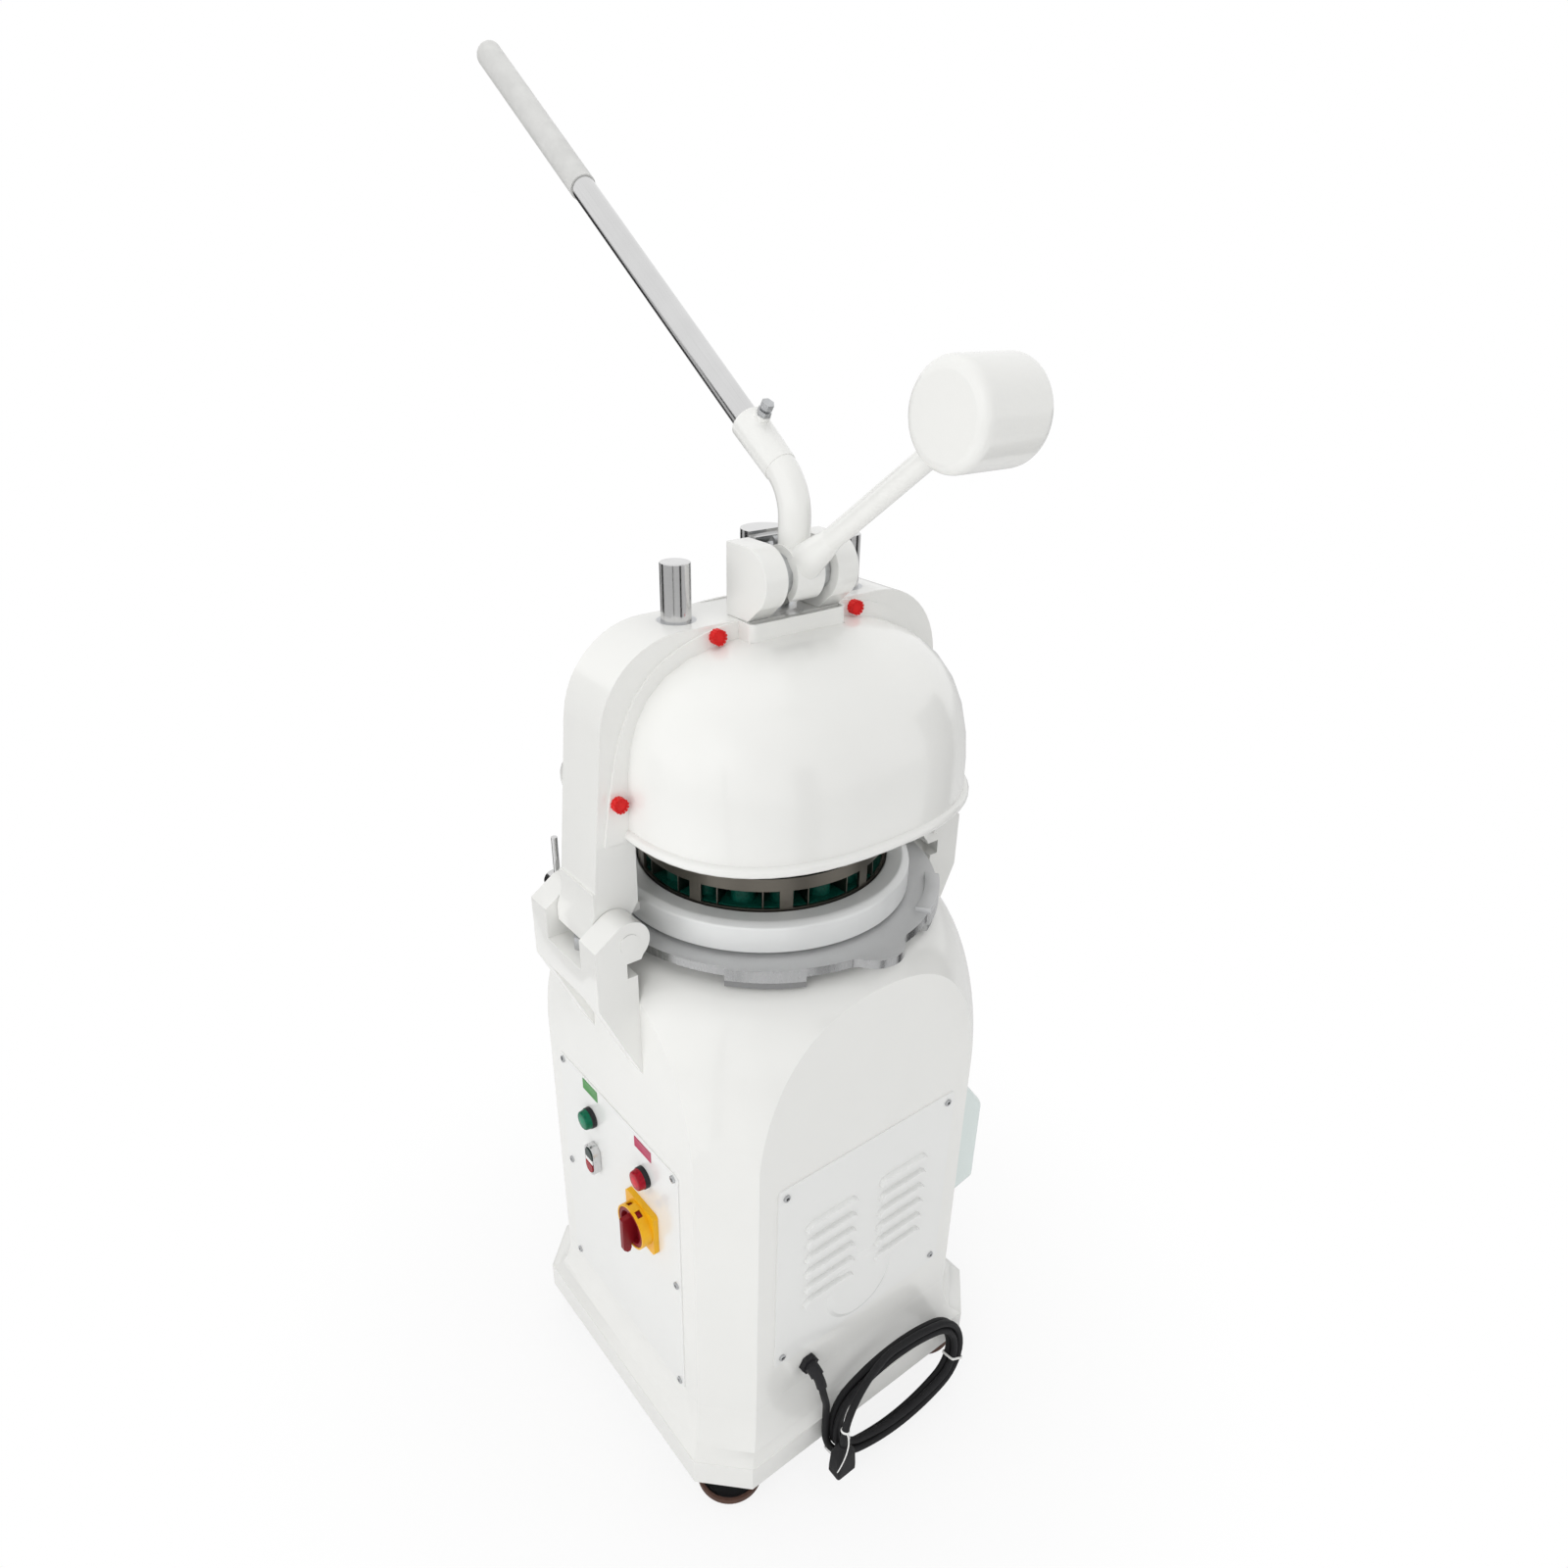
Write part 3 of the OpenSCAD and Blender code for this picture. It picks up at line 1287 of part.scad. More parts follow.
tube_wall = 3;
module lever_tube() {
  color("silver") along_tube(socket_l - socket_deep) difference() {
    cylinder(h = tube_l + socket_deep - 2, d = tube_d);
    translate([0, 0, tube_wall]) cylinder(h = tube_l + socket_deep, d = tube_d - 2 * tube_wall);
  }
}

grip_wall = 2;
module lever_grip() {
  color("#cfd2d4") along_tube(socket_l + tube_l - grip_l) difference() {
    union() {
      cylinder(h = grip_l - 6, d = tube_d + 2 * grip_wall);
      translate([0, 0, grip_l - 6 - eps]) rotate_extrude() polygon(concat([[0, 0]],
        arc([tube_d / 2 + grip_wall - 8, 0], 8, 0, 90, 6), [[0, 8]]));
    }
    translate([0, 0, -1]) cylinder(h = grip_l - 2 + 1 - eps, d = tube_d);
  }
}

arm_d = 26;
module counterweight_arm() {
  color("whitesmoke") difference() {
    along_arm(root_l) cylinder(h = arm_l - root_l, d1 = root_d, d2 = arm_d);
    along_arm(arm_l) bar_x(-weight_l, weight_l, weight_d / 2);
  }
}

weight_round = 14;
module counterweight() {
  half = weight_l / 2;
  r = weight_d / 2;
  color("whitesmoke") along_arm(arm_l) rotate([0, 90, 0]) rotate_extrude($fn = 96)
    polygon(concat([[0, -half]], arc([r - weight_round, -half + weight_round], weight_round, -90, 0, 6),
      arc([r - weight_round, half - weight_round], weight_round, 0, 90, 6), [[0, half]]));
}

// Dividing head

rack_low = shaft_z - 34;
rack_face = -shaft_y + pitch_r - gear_module;

// Gaps of the rack, one pitch apart, in mesh with the sector at rest
module rack_gaps() {
  deep = 2.25 * gear_module;
  wide = tooth_pitch * tooth_share;
  mouth = tooth_pitch - 0.56 * wide;
  bottom = tooth_pitch - 1.4 * wide;
  for (k = [-2 : 4]) translate([-ram_d, rack_face - eps, shaft_z + (k - 0.5) * tooth_pitch]) rotate([90, 0, 90])
    linear_extrude(2 * ram_d)
      polygon([[0, -mouth / 2], [deep, -bottom / 2], [deep, bottom / 2], [0, mouth / 2]]);
}

// Ram with a toothed flat towards the lever, and a spigot down to the knives
module press_ram() {
  top = yoke_top + ram_rise;
  color("silver") difference() {
    union() {
      translate([0, 0, crosshead_z]) cylinder(h = top - crosshead_z, d = ram_d);
      translate([0, 0, drum_top]) cylinder(h = crosshead_z - drum_top + 1, r = hub_r);
    }
    translate([-ram_d, rack_face - ram_d, rack_low]) cube([2 * ram_d, ram_d, top]);
    rack_gaps();
  }
}

// Crosshead that ties the guide rods to the ram
module crosshead() {
  long = 2 * rod_x + rod_d + 26;
  color("#8c8f92") translate([0, 0, crosshead_z]) difference() {
    linear_extrude(crosshead_t) union() {
      stadium(long, rod_d + 26);
      circle(d = ram_d + 40);
    }
    translate([0, 0, -1]) cylinder(h = crosshead_t + 2, d = ram_d);
    for (x = [-1, 1]) translate([x * rod_x, 0, -1]) cylinder(h = crosshead_t + 2, d = rod_d);
  }
}

module guide_rods() {
  color("silver") for (x = [-1, 1]) translate([x * rod_x, 0, crosshead_z])
    cylinder(h = yoke_top + rod_rise - crosshead_z, d = rod_d);
}

// Rings of cells: six inside, twelve round them, eighteen outside, all of one area
hub_r = 22;
cell_r = drum_r - drum_wall;
ring_edges = [hub_r, cell_r * sqrt(6 / 36), cell_r * sqrt(18 / 36), cell_r];
ring_cells = [6, 12, 18];

window_count = 9;
window_low = 6;
window_h = 27;
post_w = 18;
post_turn = -117;
cell_turn = post_turn + 10;
stem_d = 34;
function stem_r(i) = (ring_edges[i] + ring_edges[i + 1]) / 2;

// Knives: two round blades and straight blades between the rings, on a hub
module blade_plan() {
  for (i = [1, 2]) difference() {
    circle(ring_edges[i] + blade_t / 2, $fn = 96);
    circle(ring_edges[i] - blade_t / 2, $fn = 96);
  }
  for (i = [0 : 2], k = [0 : ring_cells[i] - 1]) rotate(cell_turn + k * 360 / ring_cells[i])
    translate([ring_edges[i] - 1, -blade_t / 2]) square([ring_edges[i + 1] - ring_edges[i] + 2, blade_t]);
  circle(hub_r);
}

// Windowed drum with the knife grid inside it
module knife_drum() {
  arc_deg = 360 / window_count;
  post_deg = 2 * asin(post_w / 2 / drum_r);
  color("#8a8078") translate([0, 0, knife_z]) {
    difference() {
      cylinder(h = drum_h, r = drum_r, $fn = 144);
      translate([0, 0, -1]) cylinder(h = drum_h + 2, r = cell_r, $fn = 144);
      translate([0, 0, window_low]) linear_extrude(window_h)
        for (k = [0 : window_count - 1]) rotate(post_turn + k * arc_deg)
          polygon(concat([[0, 0]], arc([0, 0], 1.2 * drum_r, post_deg / 2, arc_deg - post_deg / 2, 4)));
    }
    linear_extrude(drum_h) blade_plan();
  }
}

// Plan of one cell, drawn in from the blades by the piston gap
module cell_plan(i) {
  g = piston_gap + blade_t / 2;
  n = ring_cells[i];
  lo = ring_edges[i] + (i == 0 ? piston_gap : g);
  hi = ring_edges[i + 1] - (i == 2 ? piston_gap : g);
  far = 2 * hi;
  half = 180 / n;
  intersection() {
    difference() {
      circle(hi, $fn = 96);
      circle(lo, $fn = 96);
    }
    translate([g / sin(half), 0]) polygon([[0, 0], [far * cos(half), -far * sin(half)], [far * cos(half), far * sin(half)]]);
  }
}

piston_h = 6;
module pistons() {
  z = knife_z + piston_rest;
  color("#0e5a45") {
    for (i = [0 : 2], k = [0 : ring_cells[i] - 1]) rotate([0, 0, cell_turn + (k + 0.5) * 360 / ring_cells[i]]) {
      translate([0, 0, z]) linear_extrude(piston_h) cell_plan(i);
      translate([stem_r(i), 0, z + piston_h - eps]) cylinder(h = plate_z - z - piston_h + eps, d = stem_d);
    }
  }
}

plate_r = drum_r - 7;
module piston_plate() {
  color("#0e5a45") difference() {
    translate([0, 0, plate_z]) cylinder(h = plate_t, r = plate_r);
    translate([0, 0, plate_z - 1]) cylinder(h = plate_t + 2, r = hub_r + 1.5);
  }
}

// Rounding table

lug_w = 108;
lobe_r = 45;

lug_turns = [52, 128, 232, 308];
hub_d = eccentric_d + 40;
lug_out = 4;
lug_step = 11;
lug_back = 3;

// A block between two radii, as wide as a lug
module table_lug(z, r0, r1, h) {
  intersection() {
    translate([r0 - 10, -lug_w / 2, z]) cube([r1 - r0 + 11, lug_w, h]);
    translate([0, 0, z]) difference() {
      cylinder(h = h, r = r1);
      translate([0, 0, -1]) cylinder(h = h + 2, r = r0);
    }
  }
}

// Hollow corner between a lobe and the round of the table, let a little into both
lobe_mid = table_r + lobe_out - lobe_r;
fillet_r = 30;
let_in = 0.4;
module lobe_fillet() {
  round_r = table_r - let_in + fillet_r;
  near_r = lobe_r - let_in + fillet_r;
  turn = acos((lobe_mid * lobe_mid + round_r * round_r - near_r * near_r) / (2 * lobe_mid * round_r));
  mid = round_r * [cos(turn), sin(turn)];
  from = turn + 180;
  to = 360 + atan2(-mid[1], lobe_mid - mid[0]);
  polygon(concat([[lobe_mid, 0]], [for (i = [0 : 8]) let (a = from + (to - from) * i / 8)
    mid + fillet_r * [cos(a), sin(a)]]));
}

module rounding_table() {
  top = table_top;
  color("#a8abad") translate([orbit_r, 0, 0]) difference() {
    union() {
      translate([0, 0, top - table_t]) cylinder(h = table_t, r = table_r, $fn = 144);
      for (a = lug_turns) rotate([0, 0, a]) {
        table_lug(top - lug_h, table_r - 63, table_r + lug_out - lug_back, lug_step);
        table_lug(top - lug_h + lug_step - eps, table_r - 63, table_r + lug_out, lug_h - lug_step);
      }
      for (a = [0 : 90 : 270]) rotate([0, 0, a]) translate([0, 0, top - table_t]) {
        translate([lobe_mid, 0, 0]) cylinder(h = table_t, r = lobe_r);
        for (side = [0, 1]) mirror([0, side, 0]) linear_extrude(table_t) lobe_fillet();
      }
      translate([0, 0, top - lug_h + 6]) cylinder(h = lug_h - 7, d = hub_d);
    }
    translate([0, 0, body_top - 1])
      cylinder(h = eccentric_h + 2 + face_gap, d = eccentric_d + 2 * run_gap);
  }
}

base_plinth();
pedestal_shell();
control_panel();
vent_panel();
panel_screws();
foot_pads();
foot_studs();
left_bracket();
right_bracket();
hinge_pin();
stop_bolt();
side_cover();
bearing_housing();
shaft_bearings();
motor_plate();
drive_motor();
v_belt();
contactor();
lamp_bezels();
green_lamp();
red_lamp();
button_bezel();
isolator_plate();
cable_gland();
cord_lead();
cord_coil();
cord_tail();
mains_plug();
cord_ties();
yoke();
bearing_blocks();
guide_bushes();
crosshead();
ring_hangers();
press_ring();
front_cover();
rear_cover();
cover_knobs();
lock_pin();
lever_shaft();
sector_pinion();
lever_neck();
lever_socket();
clamp_bolt();
lever_tube();
lever_grip();
counterweight_arm();
counterweight();
press_ram();
guide_rods();
knife_drum();
piston_plate();
pistons();
eccentric_shaft();
driven_pulley();
rounding_table();
motor_pulley();
start_button();
stop_button();
isolator_knob();
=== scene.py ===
"""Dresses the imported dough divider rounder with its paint, metal, cord and small trim."""

import json
import math

import bpy
from bpy.props import FloatProperty, FloatVectorProperty, IntProperty, PointerProperty
from mathutils import Matrix, Vector


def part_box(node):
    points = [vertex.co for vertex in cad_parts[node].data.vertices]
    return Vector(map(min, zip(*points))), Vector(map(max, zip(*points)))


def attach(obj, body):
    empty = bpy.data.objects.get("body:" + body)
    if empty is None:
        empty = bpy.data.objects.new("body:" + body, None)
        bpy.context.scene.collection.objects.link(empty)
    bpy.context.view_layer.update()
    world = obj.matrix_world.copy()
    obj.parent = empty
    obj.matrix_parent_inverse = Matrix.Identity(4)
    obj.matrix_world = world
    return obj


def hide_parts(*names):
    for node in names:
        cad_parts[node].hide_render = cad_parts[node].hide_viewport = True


bl_info = {
    "name": "Dough Divider Rounder",
    "version": (1, 0, 0),
    "blender": (4, 5, 0),
    "location": "3D View > Sidebar > Rounder",
    "description": "Finishes, mains cord and trim of a bakery dough divider rounder",
    "category": "Object",
}

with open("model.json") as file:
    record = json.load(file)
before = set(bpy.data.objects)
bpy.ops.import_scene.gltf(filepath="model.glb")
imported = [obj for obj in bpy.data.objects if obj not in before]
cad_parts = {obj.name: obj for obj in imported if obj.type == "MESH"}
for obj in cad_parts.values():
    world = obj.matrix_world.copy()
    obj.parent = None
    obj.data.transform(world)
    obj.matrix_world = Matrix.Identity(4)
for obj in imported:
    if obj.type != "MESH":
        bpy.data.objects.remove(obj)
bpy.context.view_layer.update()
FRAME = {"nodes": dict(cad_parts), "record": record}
NODE_SLOT = {part["node"]: part["material_slot"] for part in FRAME["record"]["subparts"]}
NODE_BODY = {node: body for body, nodes in FRAME["record"]["behaviour"]["bodies"].items() for node in nodes}


def tint(label, what, default):
    """A colour that a user may change."""
    return FloatVectorProperty(name=label, description=what, subtype="COLOR", size=3,
                               min=0.0, max=1.0, default=default)


def length(label, what, default):
    """A length in metres that a user may change."""
    return FloatProperty(name=label, description=what, default=default, unit="LENGTH", precision=4)


class RounderColours(bpy.types.PropertyGroup):
    """Colours of the paints, metals and plastics."""

    enamel: tint("Enamel", "Warm white gloss paint of the castings and sheet", (0.90, 0.90, 0.875))
    panel: tint("Panel", "White of the two screwed panels", (0.895, 0.90, 0.885))
    mint: tint("Side cover", "Mint white of the pressed side cover", (0.80, 0.885, 0.865))
    bright: tint("Bright steel", "Polished rods, ram and lever tube", (0.70, 0.70, 0.70))
    plain: tint("Plain steel", "Zinc plated fixings and gears", (0.56, 0.57, 0.58))
    drum: tint("Drum steel", "Brown grey stainless of the knife drum", (0.19, 0.175, 0.15))
    cast: tint("Cast aluminium", "Grey of the rounding table", (0.69, 0.695, 0.70))
    ring: tint("Press ring", "Satin white aluminium of the ring", (0.88, 0.89, 0.885))
    # Painted shade: this green is darkened to stand for the shade inside the drum
    shaded_hammer: tint("Hammertone", "Dark green of the press pistons", (0.002, 0.055, 0.038))
    knob: tint("Cover knobs", "Bright red of the fluted knobs", (0.74, 0.010, 0.010))
    black: tint("Black plastic", "Lamp bezels and cable gland", (0.022, 0.022, 0.024))
    rubber: tint("Rubber", "Cord, plug and feet", (0.014, 0.014, 0.015))
    foot_rim: tint("Foot rim", "Brown rim of the cup feet", (0.085, 0.045, 0.034))
    green_lens: tint("Green lens", "Pilot lamp on the left", (0.001, 0.17, 0.085))
    red_lens: tint("Red lens", "Pilot lamp on the right", (0.44, 0.004, 0.020))
    yellow: tint("Yellow plastic", "Isolator plate", (0.90, 0.48, 0.010))
    dark_red: tint("Dark red plastic", "Isolator knob", (0.24, 0.008, 0.014))
    start_cap: tint("Start cap", "Dark green of the start button", (0.020, 0.040, 0.034))
    green_label: tint("Green label", "Bare plate above the green lamp", (0.10, 0.33, 0.10))
    red_label: tint("Red label", "Bare plate above the red lamp", (0.50, 0.05, 0.12))
    nylon: tint("Ties", "White nylon of the cord ties", (0.82, 0.82, 0.80))
    motor: tint("Motor", "Blue grey paint of the motor", (0.05, 0.11, 0.18))
    sleeve: tint("Grip sleeve", "Frosted grey sleeve on the lever", (0.68, 0.68, 0.665))


class RounderCord(bpy.types.PropertyGroup):
    """Sizes of the mains cord and its coil."""

    diameter: length("Diameter", "Thickness of the cord", 0.012)
    half_long: length("Half length", "Half of the coil's length at its outer turn", 0.154)
    half_high: length("Half height", "Half of the coil's height at its outer turn", 0.086)
    pitch: length("Pitch", "Distance between neighbouring turns", 0.013)
    lean: FloatProperty(name="Lean", description="How far the coil leans back on the plinth",
                        default=math.radians(10), subtype="ANGLE")
    turns: FloatProperty(name="Turns", description="Turns of the coil in both layers", default=3.75)
    rings: IntProperty(name="Points", description="Points of the route for each turn", default=64)


class RounderStage(bpy.types.PropertyGroup):
    """Camera and light."""

    eye: FloatVectorProperty(name="Eye", description="Place of the camera", subtype="TRANSLATION",
                             default=(-0.857, -1.105, 1.788))
    azimuth: FloatProperty(name="Azimuth", description="Way the camera looks, about the upright axis",
                           subtype="ANGLE", default=math.radians(-38.27))
    drop: FloatProperty(name="Drop", description="How far the camera looks down", subtype="ANGLE",
                        default=math.radians(27.43))
    roll: FloatProperty(name="Roll", description="Turn of the camera about its line of sight",
                        subtype="ANGLE", default=math.radians(0.96))
    lens: FloatProperty(name="Lens", description="Focal length", default=24.69, unit="CAMERA")
    shift: FloatVectorProperty(name="Shift", description="Shift of the picture", size=2,
                               default=(0.009, 0.0229))
    sky: FloatProperty(name="Sky", description="Strength of the even light", default=0.55, min=0.0)
    key: FloatProperty(name="Key", description="Power of the main lamp", default=31.0, unit="POWER")
    fill: FloatProperty(name="Fill", description="Power of the second lamp", default=13.0, unit="POWER")
    top: FloatProperty(name="Top", description="Power of the overhead lamp", default=26.0, unit="POWER")
    front: FloatProperty(name="Front", description="Power of the front lamp", default=5.5, unit="POWER")
    left: FloatProperty(name="Left", description="Power of the left lamp", default=16.0, unit="POWER")


class Wire:
    """An output socket whose sums add Math nodes."""

    def __init__(self, finish, socket):
        self.finish = finish
        self.socket = socket

    def _sum(self, operation, left, right):
        return self.finish.node("ShaderNodeMath", {"operation": operation}, {0: left, 1: right})

    def __add__(self, other):
        return self._sum("ADD", self, other)

    def __radd__(self, other):
        return self._sum("ADD", other, self)

    def __sub__(self, other):
        return self._sum("SUBTRACT", self, other)

    def __rsub__(self, other):
        return self._sum("SUBTRACT", other, self)

    def __mul__(self, other):
        return self._sum("MULTIPLY", self, other)

    def __rmul__(self, other):
        return self._sum("MULTIPLY", other, self)

    def __pow__(self, other):
        return self._sum("POWER", self, other)

    def step(self, low, high):
        """Goes smoothly from 0 at low to 1 at high."""
        return self.finish.node("ShaderNodeMapRange", {"interpolation_type": "SMOOTHSTEP"},
                                {"Value": self, "From Min": low, "From Max": high})


class Finish:
    """One node material, with the sums and textures that its colour, gloss and relief come from."""

    COAT_ROUGHNESS = 0.04

    def __init__(self, name, roughness, metallic=0.0, coat=0.0, shine=0.5):
        self.material = bpy.data.materials.new(name)
        self.material.use_nodes = True
        self.tree = self.material.node_tree
        self.shader = self.tree.nodes["Principled BSDF"]
        self.shader.inputs["Roughness"].default_value = roughness
        self.shader.inputs["Metallic"].default_value = metallic
        self.shader.inputs["Coat Weight"].default_value = coat
        self.shader.inputs["Coat Roughness"].default_value = self.COAT_ROUGHNESS
        self.shader.inputs["Specular IOR Level"].default_value = shine
        self.place = self.node("ShaderNodeTexCoord", output="Object")

    def node(self, kind, settings=None, sockets=None, output=0):
        """Adds a node, sets it, fills its sockets and gives back one of its outputs."""
        made = self.tree.nodes.new(kind)
        for key, value in (settings or {}).items():
            setattr(made, key, value)
        for key, value in (sockets or {}).items():
            if isinstance(value, Wire):
                self.tree.links.new(value.socket, made.inputs[key])
            else:
                made.inputs[key].default_value = value
        return Wire(self, made.outputs[output])

    def noise(self, scale, detail=2.0, rough=0.5, place=None):
        """Noise between 0 and 1; scale is in waves per metre."""
        return self.node("ShaderNodeTexNoise", None, {"Vector": place or self.place, "Scale": scale,
                                                      "Detail": detail, "Roughness": rough})

    def cells(self, scale, feature="F1"):
        """Distance in a pattern of cells; scale is in cells per metre."""
        return self.node("ShaderNodeTexVoronoi", {"feature": feature}, {"Vector": self.place, "Scale": scale})

    def laid(self, turn, size):
        """Coordinates turned to a direction and stretched to a size in metres along each of its axes."""
        return self.node("ShaderNodeMapping", {"vector_type": "TEXTURE"},
                         {"Vector": self.place, "Rotation": turn, "Scale": size})

    def axes(self):
        """The three Object coordinates as values."""
        split = self.node("ShaderNodeSeparateXYZ", None, {"Vector": self.place})
        return [Wire(self, out) for out in split.socket.node.outputs]

    def mix(self, low, high, share):
        """A colour between two colours."""
        sides = {0: share}
        for index, colour in ((6, low), (7, high)):
            sides[index] = colour if isinstance(colour, Wire) else opaque(colour)
        return self.node("ShaderNodeMix", {"data_type": "RGBA"}, sides, output=2)

    def feed(self, name, value):
        """Links or sets one socket of the surface."""
        if isinstance(value, Wire):
            self.tree.links.new(value.socket, self.shader.inputs[name])
        else:
            self.shader.inputs[name].default_value = value
        return self

    def relief(self, height, strength, distance):
        """Bump from a height; distance is the height's span in metres."""
        return self.feed("Normal", self.node("ShaderNodeBump", None,
                                             {"Strength": strength, "Distance": distance, "Height": height},
                                             output="Normal"))


def opaque(colour):
    """A colour with its fourth value."""
    return (*colour[:3], 1.0)


def scaled(colour, factor):
    """A colour made darker or lighter."""
    return tuple(min(1.0, channel * factor) for channel in colour[:3])


def gloss_paint(name, colour, peel=0.09, wave=7.0):
    """Sprayed gloss enamel with a fine orange peel and slightly uneven film."""
    finish = Finish(name, 0.2, coat=0.35)
    film = finish.noise(wave, 3.0)
    spray = finish.noise(160.0, 2.0)
    finish.feed("Base Color", finish.mix(scaled(colour, 0.965), scaled(colour, 1.015), film))
    finish.feed("Roughness", 0.17 + spray * 0.09)
    finish.relief(finish.noise(330.0, 1.0), peel, 0.0006)
    return finish.material


def brushed_metal(name, colour, rough, turn, grain, depth=0.10):
    """Metal with fine tool marks that run one way."""
    finish = Finish(name, rough, metallic=1.0)
    marks = finish.noise(1.0, 4.0, 0.62, finish.laid(turn, grain))
    stain = finish.noise(14.0, 3.0)
    tone = marks * 0.6 + stain * 0.4
    finish.feed("Base Color", finish.mix(scaled(colour, 0.80), scaled(colour, 1.12), tone))
    finish.feed("Roughness", rough - 0.07 + marks * 0.16)
    finish.relief(marks, depth, 0.0004)
    return finish.material


def zinc_plate(name, colour):
    """Plated steel of fixings, cloudy and a little worn."""
    finish = Finish(name, 0.34, metallic=1.0)
    cloud = finish.noise(120.0, 4.0, 0.6)
    finish.feed("Base Color", finish.mix(scaled(colour, 0.78), scaled(colour, 1.15), cloud))
    finish.feed("Roughness", 0.26 + cloud * 0.2)
    finish.relief(finish.noise(700.0, 2.0), 0.08, 0.0003)
    return finish.material


def cast_metal(name, colour, step):
    """Sand-cast aluminium; the band under a height is rougher and painted darker as shade."""
    finish = Finish(name, 0.45, metallic=0.45)
    sand = finish.noise(420.0, 3.0, 0.6)
    flow = finish.noise(22.0, 3.0)
    above_shade_band = finish.axes()[2].step(step - STEP_BLUR, step + STEP_BLUR)
    body = finish.mix(scaled(colour, 0.86), scaled(colour, 1.08), flow * 0.6 + sand * 0.4)
    # Painted shade: under the height the cast grey is darkened to 0.42
    finish.feed("Base Color", finish.mix(scaled(colour, 0.42), body, above_shade_band))
    finish.feed("Roughness", 0.56 + sand * 0.16 - above_shade_band * 0.12)
    finish.relief(sand, 0.22, 0.0008)
    return finish.material


def satin_metal(name, colour):
    """Bead-blasted aluminium with faint turning rings."""
    finish = Finish(name, 0.4, metallic=0.25)
    along, across, up = finish.axes()
    reach = (along ** 2.0 + across ** 2.0) ** 0.5
    rings = finish.node("ShaderNodeTexNoise", {"noise_dimensions": "1D"},
                        {"W": (reach + up) * 1600.0, "Scale": 1.0, "Detail": 2.0})
    cloud = finish.noise(30.0, 3.0)
    tone = cloud * 0.6 + rings * 0.4
    finish.feed("Base Color", finish.mix(scaled(colour, 0.93), scaled(colour, 1.03), tone))
    finish.feed("Roughness", 0.34 + cloud * 0.14)
    finish.relief(rings, 0.06, 0.0003)
    return finish.material


def hammer_paint(name, colour):
    """Hammertone paint: dimples with lighter edges."""
    finish = Finish(name, 0.32, shine=0.25)
    dimple = finish.cells(230.0, "SMOOTH_F1")
    mist = finish.noise(60.0, 3.0)
    tone = dimple * 0.75 + mist * 0.25
    finish.feed("Base Color", finish.mix(scaled(colour, 0.55), scaled(colour, 1.9), tone))
    finish.feed("Roughness", 0.26 + mist * 0.16)
    finish.relief(dimple, 0.45, 0.0012)
    return finish.material


def moulded(name, colour, rough=0.34, grain=520.0, depth=0.06, shine=0.3):
    """Moulded plastic with a fine eroded texture."""
    finish = Finish(name, rough, shine=shine)
    texture = finish.noise(grain, 2.0)
    cloud = finish.noise(45.0, 2.0)
    finish.feed("Base Color", finish.mix(scaled(colour, 0.88), scaled(colour, 1.10), cloud))
    finish.feed("Roughness", rough - 0.05 + texture * 0.12)
    finish.relief(texture, depth, 0.0004)
    return finish.material


def soft_rubber(name, colour):
    """Matt black rubber with a dusty bloom."""
    finish = Finish(name, 0.55, shine=0.16)
    bloom = finish.noise(38.0, 4.0, 0.6)
    skin = finish.noise(620.0, 2.0)
    finish.feed("Base Color", finish.mix(colour, scaled(colour, 1.7), bloom))
    finish.feed("Roughness", 0.46 + bloom * 0.2)
    finish.relief(skin, 0.1, 0.0004)
    return finish.material


def foot_rubber(name, colour, rim):
    """Black rubber of the cup feet, worn brown round the rim."""
    finish = Finish(name, 0.5, shine=0.2)
    along, across, _ = finish.axes()
    side = (finish.node("ShaderNodeMath", {"operation": "ABSOLUTE"}, {0: along}) - FOOT_AT) ** 2.0
    depth = (finish.node("ShaderNodeMath", {"operation": "ABSOLUTE"}, {0: across}) - FOOT_AT) ** 2.0
    edge = ((side + depth) ** 0.5).step(*FOOT_RIM)
    bloom = finish.noise(60.0, 3.0)
    finish.feed("Base Color", finish.mix(colour, finish.mix(rim, scaled(rim, 1.5), bloom), edge))
    finish.feed("Roughness", 0.42 + bloom * 0.2)
    finish.relief(finish.noise(500.0, 2.0), 0.1, 0.0004)
    return finish.material


def lamp_lens(name, colour, centre):
    """Prismatic pilot lens with a painted glow, brightest at its centre and darker towards its rim."""
    finish = Finish(name, 0.2, shine=0.2)
    _, across, up = finish.axes()
    reach = ((across - centre[0]) ** 2.0 + (up - centre[1]) ** 2.0) ** 0.5
    facets = finish.cells(210.0)
    # Painted glow: the lens is lighter towards its centre
    painted_glow = 1.0 - reach.step(*LENS_GLOW)
    tone = painted_glow * 0.7 + facets * 0.4
    finish.feed("Base Color", finish.mix(scaled(colour, 0.55), scaled(colour, 1.6), tone))
    finish.feed("Roughness", 0.16 + facets * 0.12)
    finish.relief(facets, 0.06, 0.0006)
    return finish.material


def polished_tube(name, colour, turn):
    """Drawn and polished tube with lengthwise marks."""
    return brushed_metal(name, colour, 0.17, turn, TUBE_MARKS, 0.05)


# Places that finishes follow, in metres, and turns of tool marks; the lever's rise is in degrees
LEVER_RISE = 34.6
LEVER_TURN = (math.radians(LEVER_RISE - 90.0), 0.0, 0.0)
UPRIGHT = (0.0, 0.0, 0.0)
LAMP_GREEN = (0.075, 0.587)
LAMP_RED = (-0.081, 0.587)
LENS_GLOW = (0.003, 0.015)
TABLE_STEP = 0.953
STEP_BLUR = 0.0015
FOOT_AT = 0.222
FOOT_RIM = (0.0465, 0.0490)

